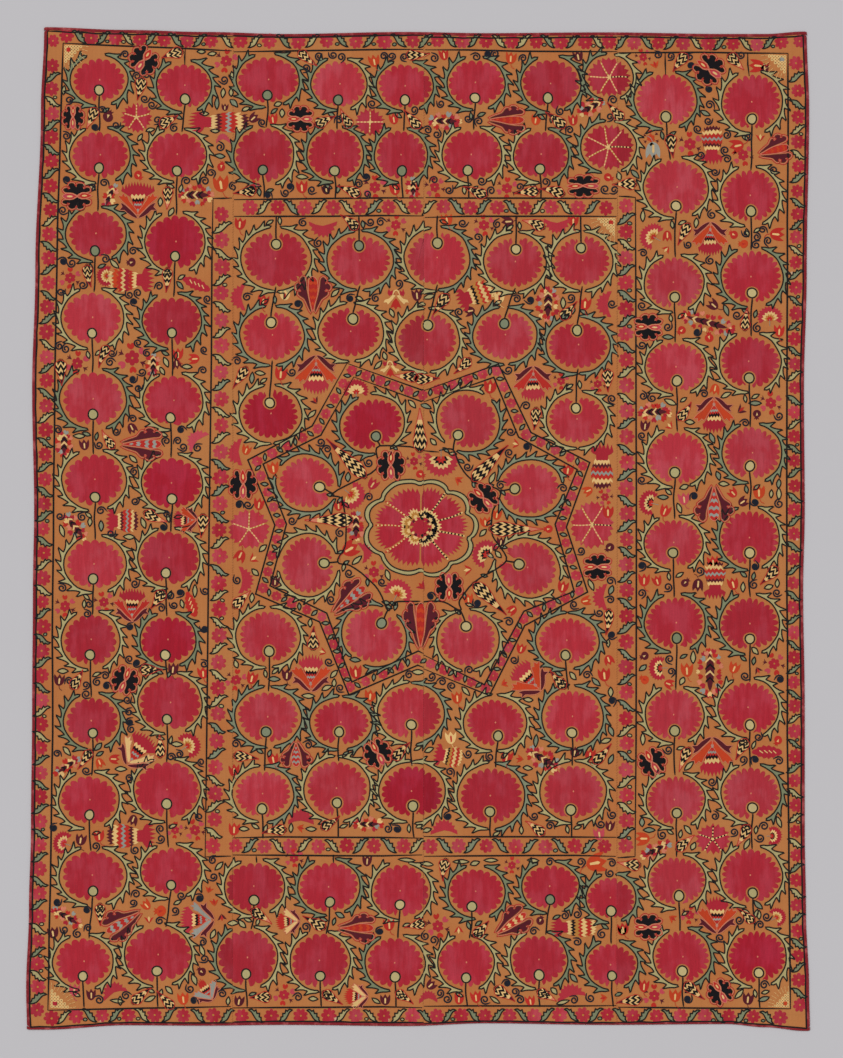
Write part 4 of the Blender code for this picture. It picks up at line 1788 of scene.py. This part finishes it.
def fill_the_gaps():
    """Little leaves, curls and buds wherever the cloth is still bare, the largest gaps first."""
    taken = worked_squares()
    room = room_round(taken)
    for count in range(MOST_FILLINGS):
        place = int(room.argmax())
        y, x = divmod(place, room.shape[1])
        free = room[y, x]
        if free < SMALLEST_GAP:
            break
        if free >= 9:
            kind = chance.choice((flower, tulip, twig))
            if kind is flower:
                flower(x, y, chance.uniform(0, 60), 0.72)
            else:
                kind(x, y, chance.uniform(0, 360), 1.0, chance.choice(("red", "maroon", "orange", "crimson")))
            reach = 9
        elif free >= 7:
            kind = chance.choice((tulip, pomegranate, twig))
            kind(x, y, chance.uniform(0, 360), 0.85, chance.choice(("red", "maroon", "orange", "red")))
            reach = 7
        elif free >= 5 and chance.random() < 0.62:
            curl(x, y, chance.uniform(0, 360), 1.08, chance.random() < 0.5)
            reach = 5
        else:
            # a leaf lies the way the gap runs
            best = max(range(8), key=lambda k: sum(
                room[
                    min(max(round(y - step * math.sin(k * math.pi / 8)), 0), CHART_TALL - 1),
                    min(max(round(x + step * math.cos(k * math.pi / 8)), 0), CHART_WIDE - 1),
                ]
                for step in (-5, -3, 3, 5)
            ))
            turn = best * 22.5 - 90 + chance.choice((0, 180))
            small_leaf(x, y, turn, chance.uniform(8.5, 12.5), 5.0, chance.choice(("sage", "sage", "teal")))
            reach = 5
        low_x, high_x = max(x - 2 * WIDEST_ROOM, 0), min(x + 2 * WIDEST_ROOM + 1, CHART_WIDE)
        low_y, high_y = max(y - 2 * WIDEST_ROOM, 0), min(y + 2 * WIDEST_ROOM + 1, CHART_TALL)
        across, down = np.meshgrid(np.arange(low_x, high_x), np.arange(low_y, high_y))
        window = taken[low_y:high_y, low_x:high_x]
        window |= np.hypot(across - x, down - y) < reach
        fresh = room_round(window)
        inner = np.s_[WIDEST_ROOM:-WIDEST_ROOM, WIDEST_ROOM:-WIDEST_ROOM]
        room[low_y:high_y, low_x:high_x][inner] = fresh[inner]


# from the chart to the cloth
def hand_wander(points):
    """No hand follows a chart exactly: everything strays a little, smoothly."""
    x = points[:, 0]
    y = points[:, 1]
    across = 0.24 * np.sin(0.31 * x + 0.17 * y) + 0.20 * np.sin(0.09 * x - 0.23 * y + 2.0)
    down = 0.24 * np.sin(0.27 * y - 0.21 * x + 1.0) + 0.20 * np.sin(0.11 * y + 0.19 * x + 4.0)
    return points + np.column_stack((across, down))


def signed_area(points):
    x = points[:, 0]
    y = points[:, 1]
    return 0.5 * float(np.sum(x * np.roll(y, -1) - np.roll(x, -1) * y))


def without_doubles(points, closed):
    kept = [points[0]]
    for point in points[1:]:
        if math.dist(point, kept[-1]) > 0.08 * MM:
            kept.append(point)
    if closed and len(kept) > 1 and math.dist(kept[0], kept[-1]) < 0.08 * MM:
        kept.pop()
    return np.array(kept)


def cut_shape(points, seam, keep_left):
    """What lies on one side of a seam."""
    side = -1 if keep_left else 1
    found = []
    for here, there in zip(points, np.roll(points, -1, axis=0)):
        depth_here = (here[0] - seam) * side
        depth_there = (there[0] - seam) * side
        if depth_here >= 0:
            found.append(here)
        if depth_here * depth_there < 0:
            part = depth_here / (depth_here - depth_there)
            found.append(here + (there - here) * part)
    return np.array(found)


def cut_line(points, seam, keep_left):
    """The runs of a line on one side of a seam."""
    side = -1 if keep_left else 1
    runs = []
    run = []
    for here, there in zip(points[:-1], points[1:]):
        depth_here = (here[0] - seam) * side
        depth_there = (there[0] - seam) * side
        if depth_here >= 0 and not run:
            run.append(here)
        if depth_here * depth_there < 0:
            crossing = here + (there - here) * depth_here / (depth_here - depth_there)
            run.append(crossing)
            if depth_here >= 0:
                runs.append(np.array(run))
                run = []
        if depth_there >= 0:
            run.append(there)
    if len(run) > 1:
        runs.append(np.array(run))
    return runs


def on_widths(points, closed, filled):
    """Shares a shape out among the four loom widths, each a little out of step with its neighbour."""
    middle = points.mean(axis=0)
    seams = [seam_line(index, middle[1]) for index in range(3)]
    home = sum(middle[0] > seam for seam in seams)
    low, high = points[:, 0].min(), points[:, 0].max()
    if closed and not filled:
        points = np.concatenate((points, points[:1]))
    for panel in range(4):
        left = seams[panel - 1] if panel else -9.0
        right = seams[panel] if panel < 3 else 9.0
        if high <= left or low >= right:
            continue
        if low >= left and high <= right:
            yield panel, points, closed, "whole"
            return
        slip = 0.0 if panel == home else (0.8 + 0.6 * math.sin(middle[1] * 9 + panel)) * SQUARE
        moved = points - (0.0, slip)
        place = "home" if panel == home else "over the seam"
        if filled:
            moved = cut_shape(cut_shape(moved, left + GAP / 2, False), right - GAP / 2, True)
            if len(moved) > 2:
                yield panel, moved, True, place
            continue
        for run in cut_line(moved, left + GAP / 2, False):
            for part in cut_line(run, right - GAP / 2, True):
                if len(part) > 1:
                    yield panel, part, False, place


class Stitching:
    """The corners and faces of one piece of needlework, gathered before it is made."""

    def __init__(self):
        self.places = []
        self.faces = []
        self.dyes = []
        self.ways = []
        self.count = 0

    def add(self, places, faces, dye, ways=None):
        base = self.count
        self.places.append(places)
        self.faces.extend([tuple(base + corner for corner in face) for face in faces])
        self.dyes.append(np.tile((*dye, 1.0), (len(places), 1)))
        self.ways.append(np.zeros((len(places), 3)) if ways is None else ways)
        self.count += len(places)

    def patch(self, points, low, high, shoulder, dye):
        """A filled shape, its rim standing up from the cloth and softened at the top."""
        if signed_area(points) < 0:
            points = points[::-1]
        n = len(points)
        rings = [(points, low)]
        if shoulder:
            rings.append((points, high - shoulder * 0.6))
            before = points - np.roll(points, 1, axis=0)
            after = np.roll(points, -1, axis=0) - points
            before /= np.linalg.norm(before, axis=1)[:, None]
            after /= np.linalg.norm(after, axis=1)[:, None]
            inwards = np.column_stack((-(before + after)[:, 1], (before + after)[:, 0]))
            length = np.maximum(np.linalg.norm(inwards, axis=1), 0.6)[:, None]
            rings.append((points + inwards / length * shoulder, high))
        else:
            rings.append((points, high))
        places = np.concatenate([np.column_stack((ring_points, np.full(n, z))) for ring_points, z in rings])
        faces = []
        for level in range(len(rings) - 1):
            for k in range(n):
                nxt = (k + 1) % n
                faces.append((level * n + k, level * n + nxt, (level + 1) * n + nxt, (level + 1) * n + k))
        top = (len(rings) - 1) * n
        faces.append(tuple(range(top, top + n)))
        faces.append(tuple(reversed(range(n))))
        self.add(places, faces, dye)

    def thread(self, points, closed, wide, low, high, dye):
        """A raised line of stitches, open below, where it lies on the cloth."""
        n = len(points)
        if closed:
            before = points - np.roll(points, 1, axis=0)
            after = np.roll(points, -1, axis=0) - points
        else:
            steps = np.diff(points, axis=0)
            before = np.concatenate((steps[:1], steps))
            after = np.concatenate((steps, steps[-1:]))
        size_before = np.linalg.norm(before, axis=1)[:, None]
        size_after = np.linalg.norm(after, axis=1)[:, None]
        both = before / size_before + after / size_after
        size = np.linalg.norm(both, axis=1)[:, None]
        heading = np.where(size > 0.3, both / np.maximum(size, 0.001), after / size_after)
        out = np.column_stack((-heading[:, 1], heading[:, 0]))
        reach = wide / 2 * np.minimum(2 / np.maximum(size, 0.3), 1.5)
        if not closed:
            reach[0] *= 0.45
            reach[-1] *= 0.45
        along = np.concatenate(([0.0], np.cumsum(np.linalg.norm(np.diff(points, axis=0), axis=1))))
        sections = ((1.0, low), (0.72, high), (-0.72, high), (-1.0, low))
        places = np.concatenate(
            [np.column_stack((points + out * reach * share, np.full(n, z))) for share, z in sections]
        )
        ways = np.concatenate(
            [np.column_stack((along, np.full(n, share), np.zeros(n))) for share, z in sections]
        )
        faces = []
        for k in range(n if closed else n - 1):
            nxt = (k + 1) % n
            for one in range(3):
                two = one + 1
                faces.append((one * n + k, two * n + k, two * n + nxt, one * n + nxt))
        if not closed:
            faces.append((0, n, 2 * n, 3 * n))
            faces.append((4 * n - 1, 3 * n - 1, 2 * n - 1, n - 1))
        self.add(places, faces, dye, ways)

    def make(self, name, material):
        piece = new_piece(name, np.concatenate(self.places), self.faces)
        mesh = piece.data
        dye = mesh.attributes.new("dye", "FLOAT_COLOR", "POINT")
        dye.data.foreach_set("color", np.concatenate(self.dyes).ravel())
        way = mesh.attributes.new("way", "FLOAT_VECTOR", "POINT")
        way.data.foreach_set("vector", np.concatenate(self.ways).ravel())
        mesh.update()
        flat_map(piece)
        take_up(piece)
        bpy.ops.object.shade_smooth_by_angle(angle=math.radians(25))
        return dress(piece, material)


def stitch_the_work():
    """Makes the pieces of needlework, one for each kind on each loom width."""
    pieces = {}
    for serial, (layer, points, dye, width, closed, order) in enumerate(work):
        height, shoulder = LAYERS[layer]
        points = on_cloth(hand_wander(points))
        tone = chance.uniform(0.93, 1.07)
        colour = [part * tone for part in linear(DYES[dye])]
        high = CLOTH_TOP + (height + 0.012 * min(order, 14) + 0.003 * (serial % 3)) * MM
        low = CLOTH_TOP - SUNK
        for panel, part, round_line, place in on_widths(points, closed, width is None):
            part = without_doubles(part, round_line)
            piece = pieces.setdefault((layer, panel), Stitching())
            if width is None:
                if len(part) > 2 and abs(signed_area(part)) > 0.5 * MM * MM:
                    # a shape cut by a seam keeps a square rim, and its far part was often dyed deeper
                    soft = shoulder * MM if place == "whole" else 0.0
                    deep = layer == "rosettes" and place == "over the seam"
                    piece.patch(part, low, high, soft, [c * 0.84 for c in colour] if deep else colour)
            elif len(part) > (2 if round_line else 1):
                piece.thread(part, round_line, width * SQUARE, low, high, colour)
    return pieces


def seam_stitches(index, material):
    """The whipped stitches that join two loom widths."""
    piece = Stitching()
    y = bottom_edge(0) + 12 * MM
    while y < top_edge(0) - 12 * MM:
        x = seam_line(index, y)
        reach = chance.uniform(1.6, 2.6) * MM
        ends = np.array([(x - reach, y - reach * 0.7), (x + reach, y + reach * 0.7)])
        tone = chance.uniform(0.75, 1.15)
        colour = [part * tone for part in linear(DYES["seam"])]
        piece.thread(ends, False, 1.0 * MM, CLOTH_TOP - SUNK, CLOTH_TOP + 0.35 * MM, colour)
        y += chance.uniform(5.5, 7.5) * MM
    return piece.make("seam_" + str(index + 1), material)


def rim_line():
    """The thin dark line worked just inside the tape, all the way round."""
    inset = TAPE_WIDE + 1.4 * MM
    top_left, top_right = left_edge(HALF_TALL), right_edge(HALF_TALL)
    low_left, low_right = left_edge(-HALF_TALL), right_edge(-HALF_TALL)
    inside = []
    for k in range(61):
        across = top_left + (top_right - top_left) * k / 60
        inside.append((across, top_edge(across) - inset))
    inside[0] = (top_left + inset, inside[0][1])
    inside[-1] = (top_right - inset, inside[-1][1])
    for k in range(1, 80):
        y = 1.243 - 2.486 * k / 80
        inside.append((right_edge(y) - inset, y))
    for k in range(61):
        across = low_right - (low_right - low_left) * k / 60
        inside.append((across, bottom_edge(across) + inset))
    inside[-61] = (low_right - inset, inside[-61][1])
    inside[-1] = (low_left + inset, inside[-1][1])
    for k in range(1, 80):
        y = -1.25 + 2.49 * k / 80
        inside.append((left_edge(y) + inset, y))
    inside = np.array(inside)
    across = inside[:, 0] / SQUARE + CHART_MIDDLE[0]
    down = CHART_MIDDLE[1] - inside[:, 1] / SQUARE
    line(CHART, np.column_stack((across, down)), "ink", 1.8, True)


def tape(name, path, inwards, material):
    """A tape folded over the rim of the cloth, following a path of outer edge points."""
    path = np.asarray(path, float)
    inwards = np.asarray(inwards, float)
    # its section: (share of the width inwards, share of the thickness up)
    section = (
        (0.06, 0.0), (0.98, 0.0), (1.0, 0.30), (1.0, 0.72), (0.95, 0.90), (0.84, 1.0),
        (0.50, 1.0), (0.24, 0.98), (0.12, 0.90), (0.03, 0.72), (0.0, 0.45), (0.02, 0.15),
    )
    n = len(path)
    steps = np.concatenate(([0.0], np.cumsum(np.linalg.norm(np.diff(path, axis=0), axis=1))))
    # drawn in a little at every stitch
    drawn = 0.18 * MM * np.cos(steps * (2 * math.pi / TAPE_STITCH))
    sunk = 0.10 * MM * (1 + np.cos(steps * (2 * math.pi / TAPE_STITCH)))
    places = []
    for share, up in section:
        away = share * TAPE_WIDE + (drawn * 0.5 + 0.09 * MM if share < 0.3 else 0.0)
        level = up * TAPE_THICK - (sunk if up > 0.85 else 0.0)
        ring_points = path + inwards * np.reshape(away * np.ones(n), (n, 1))
        places.append(np.column_stack((ring_points, level * np.ones(n))))
    places = np.concatenate(places)
    count = len(section)
    faces = []
    for one in range(count):
        two = (one + 1) % count
        for k in range(n - 1):
            faces.append((one * n + k, one * n + k + 1, two * n + k + 1, two * n + k))
    faces.append(tuple(k * n for k in range(count)))
    faces.append(tuple(k * n + n - 1 for k in reversed(range(count))))
    piece = new_piece(name, places, faces)
    take_up(piece)
    bpy.ops.object.mode_set(mode="EDIT")
    bpy.ops.mesh.select_all(action="SELECT")
    bpy.ops.mesh.normals_make_consistent(inside=False)
    bpy.ops.mesh.select_all(action="DESELECT")
    bpy.ops.object.mode_set(mode="OBJECT")
    bpy.ops.object.shade_smooth_by_angle(angle=math.radians(50))
    flat_map(piece)
    return dress(piece, material)


def corner_pull(at, low, high):
    """How far an edge draws in as it nears a rounded corner."""
    near = min(at - low, high - at)
    if near >= CORNER_ROUND:
        return 0.0
    return CORNER_ROUND - math.sqrt(max(0.0, CORNER_ROUND**2 - (CORNER_ROUND - near) ** 2))


def tapes(material):
    """The side tapes run the whole height, and the end tapes lie between them."""
    made = []
    for name, node, edge, inwards in (
        ("tape_left", "binding_left", left_edge, 1.0),
        ("tape_right", "binding_right", right_edge, -1.0),
    ):
        low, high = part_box(node)
        count = round((high[1] - low[1]) / (TAPE_STEP))
        rows = [low[1] + (high[1] - low[1]) * k / count for k in range(count + 1)]
        path = [(edge(y) + inwards * corner_pull(y, low[1], high[1]), y) for y in rows]
        made.append(tape(name, path, [(inwards, 0.0)] * len(path), material))
        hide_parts(node)
    for name, node, edge, inwards in (
        ("tape_top", "binding_top", top_edge, -1.0),
        ("tape_bottom", "binding_bottom", bottom_edge, 1.0),
    ):
        low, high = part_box(node)
        count = round((high[0] - low[0]) / (TAPE_STEP))
        columns = [low[0] + (high[0] - low[0]) * k / count for k in range(count + 1)]
        path = [(x, edge(x) + inwards * corner_pull(x, low[0], high[0]) * 0.3) for x in columns]
        made.append(tape(name, path, [(0.0, inwards)] * len(path), material))
        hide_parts(node)
    return made


# the cloth, its needlework and its tape
ground = ground_material("camel cotton", (184, 119, 68), (177, 106, 58))
laid_silk = silk_material("laid silk", 0.42, 1.1 * MM, 0.55)
small_silk = silk_material("laid silk in small motifs", 0.22, 0.9 * MM, 0.0)
chain = chain_stitch_material("chain stitch")
seam_thread = chain_stitch_material("seam thread")
red_tape = tape_material("madder tape", (128, 28, 36), (176, 84, 84))

sides = (
    lambda y: left_edge(y) + TAPE_INSET,
    lambda y: seam_line(0, y),
    lambda y: seam_line(1, y),
    lambda y: seam_line(2, y),
    lambda y: right_edge(y) - TAPE_INSET,
)
for index in range(4):
    start = GAP / 2 if index else 0.0
    stop = GAP / 2 if index < 3 else 0.0
    cloth = cloth_panel(
        "cloth_" + str(index + 1),
        lambda y, side=sides[index], extra=start: side(y) + extra,
        lambda y, side=sides[index + 1], extra=stop: side(y) - extra,
        ground,
    )
    node = "panel_" + str(index + 1)
    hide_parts(node)

for piece in tapes(red_tape):
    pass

work_borders()
work_frames()
work_rosettes()
work_wheels()
work_middle()
work_motifs()
fill_the_gaps()
rim_line()
finishes = {
    "rosettes": laid_silk,
    "border_flowers": laid_silk,
    "leaves": small_silk,
    "motifs": small_silk,
    "eyes": small_silk,
    "details": small_silk,
    "wreath_lines": chain,
    "lines": chain,
}
for (layer, panel), stitching in stitch_the_work().items():
    stitching.make(layer + "_" + str(panel + 1), finishes[layer])
for index in range(3):
    seam_stitches(index, seam_thread)

# the grey table it lies on, the light and the camera
rest_selection()
bpy.ops.mesh.primitive_plane_add(size=9.0, location=(0, 0, -0.4 * MM))
table = bpy.context.object
table.name = "table"
keep_place_in_mesh(table)
plain = Recipe("grey paper")
table.data.materials.append(plain.finish((*linear((194, 192, 195)), 1), 0.9, None, 0.0, 0.0))

scene = bpy.context.scene
scene.view_settings.view_transform = "Standard"
world = bpy.data.worlds.new("studio")
scene.world = world
world.use_nodes = True
world.node_tree.nodes["Background"].inputs["Color"].default_value = (1, 1, 1, 1)
world.node_tree.nodes["Background"].inputs["Strength"].default_value = 0.62

rest_selection()
bpy.ops.object.light_add(type="SUN", location=(-2.0, 2.4, 4.0))
lamp = bpy.context.object
lamp.name = "soft_window_light"
lamp.data.angle = math.radians(35)
lamp.data.energy = 1.35
lamp.rotation_euler = Vector((2.0, -2.4, -4.0)).to_track_quat("-Z", "Y").to_euler()

camera_data = bpy.data.cameras.new("camera")
camera_data.lens = 100
camera_data.sensor_width = 36
camera = bpy.data.objects.new("camera", camera_data)
camera.location = (0.00875, 0.0, 7.35)
scene.collection.objects.link(camera)
scene.camera = camera
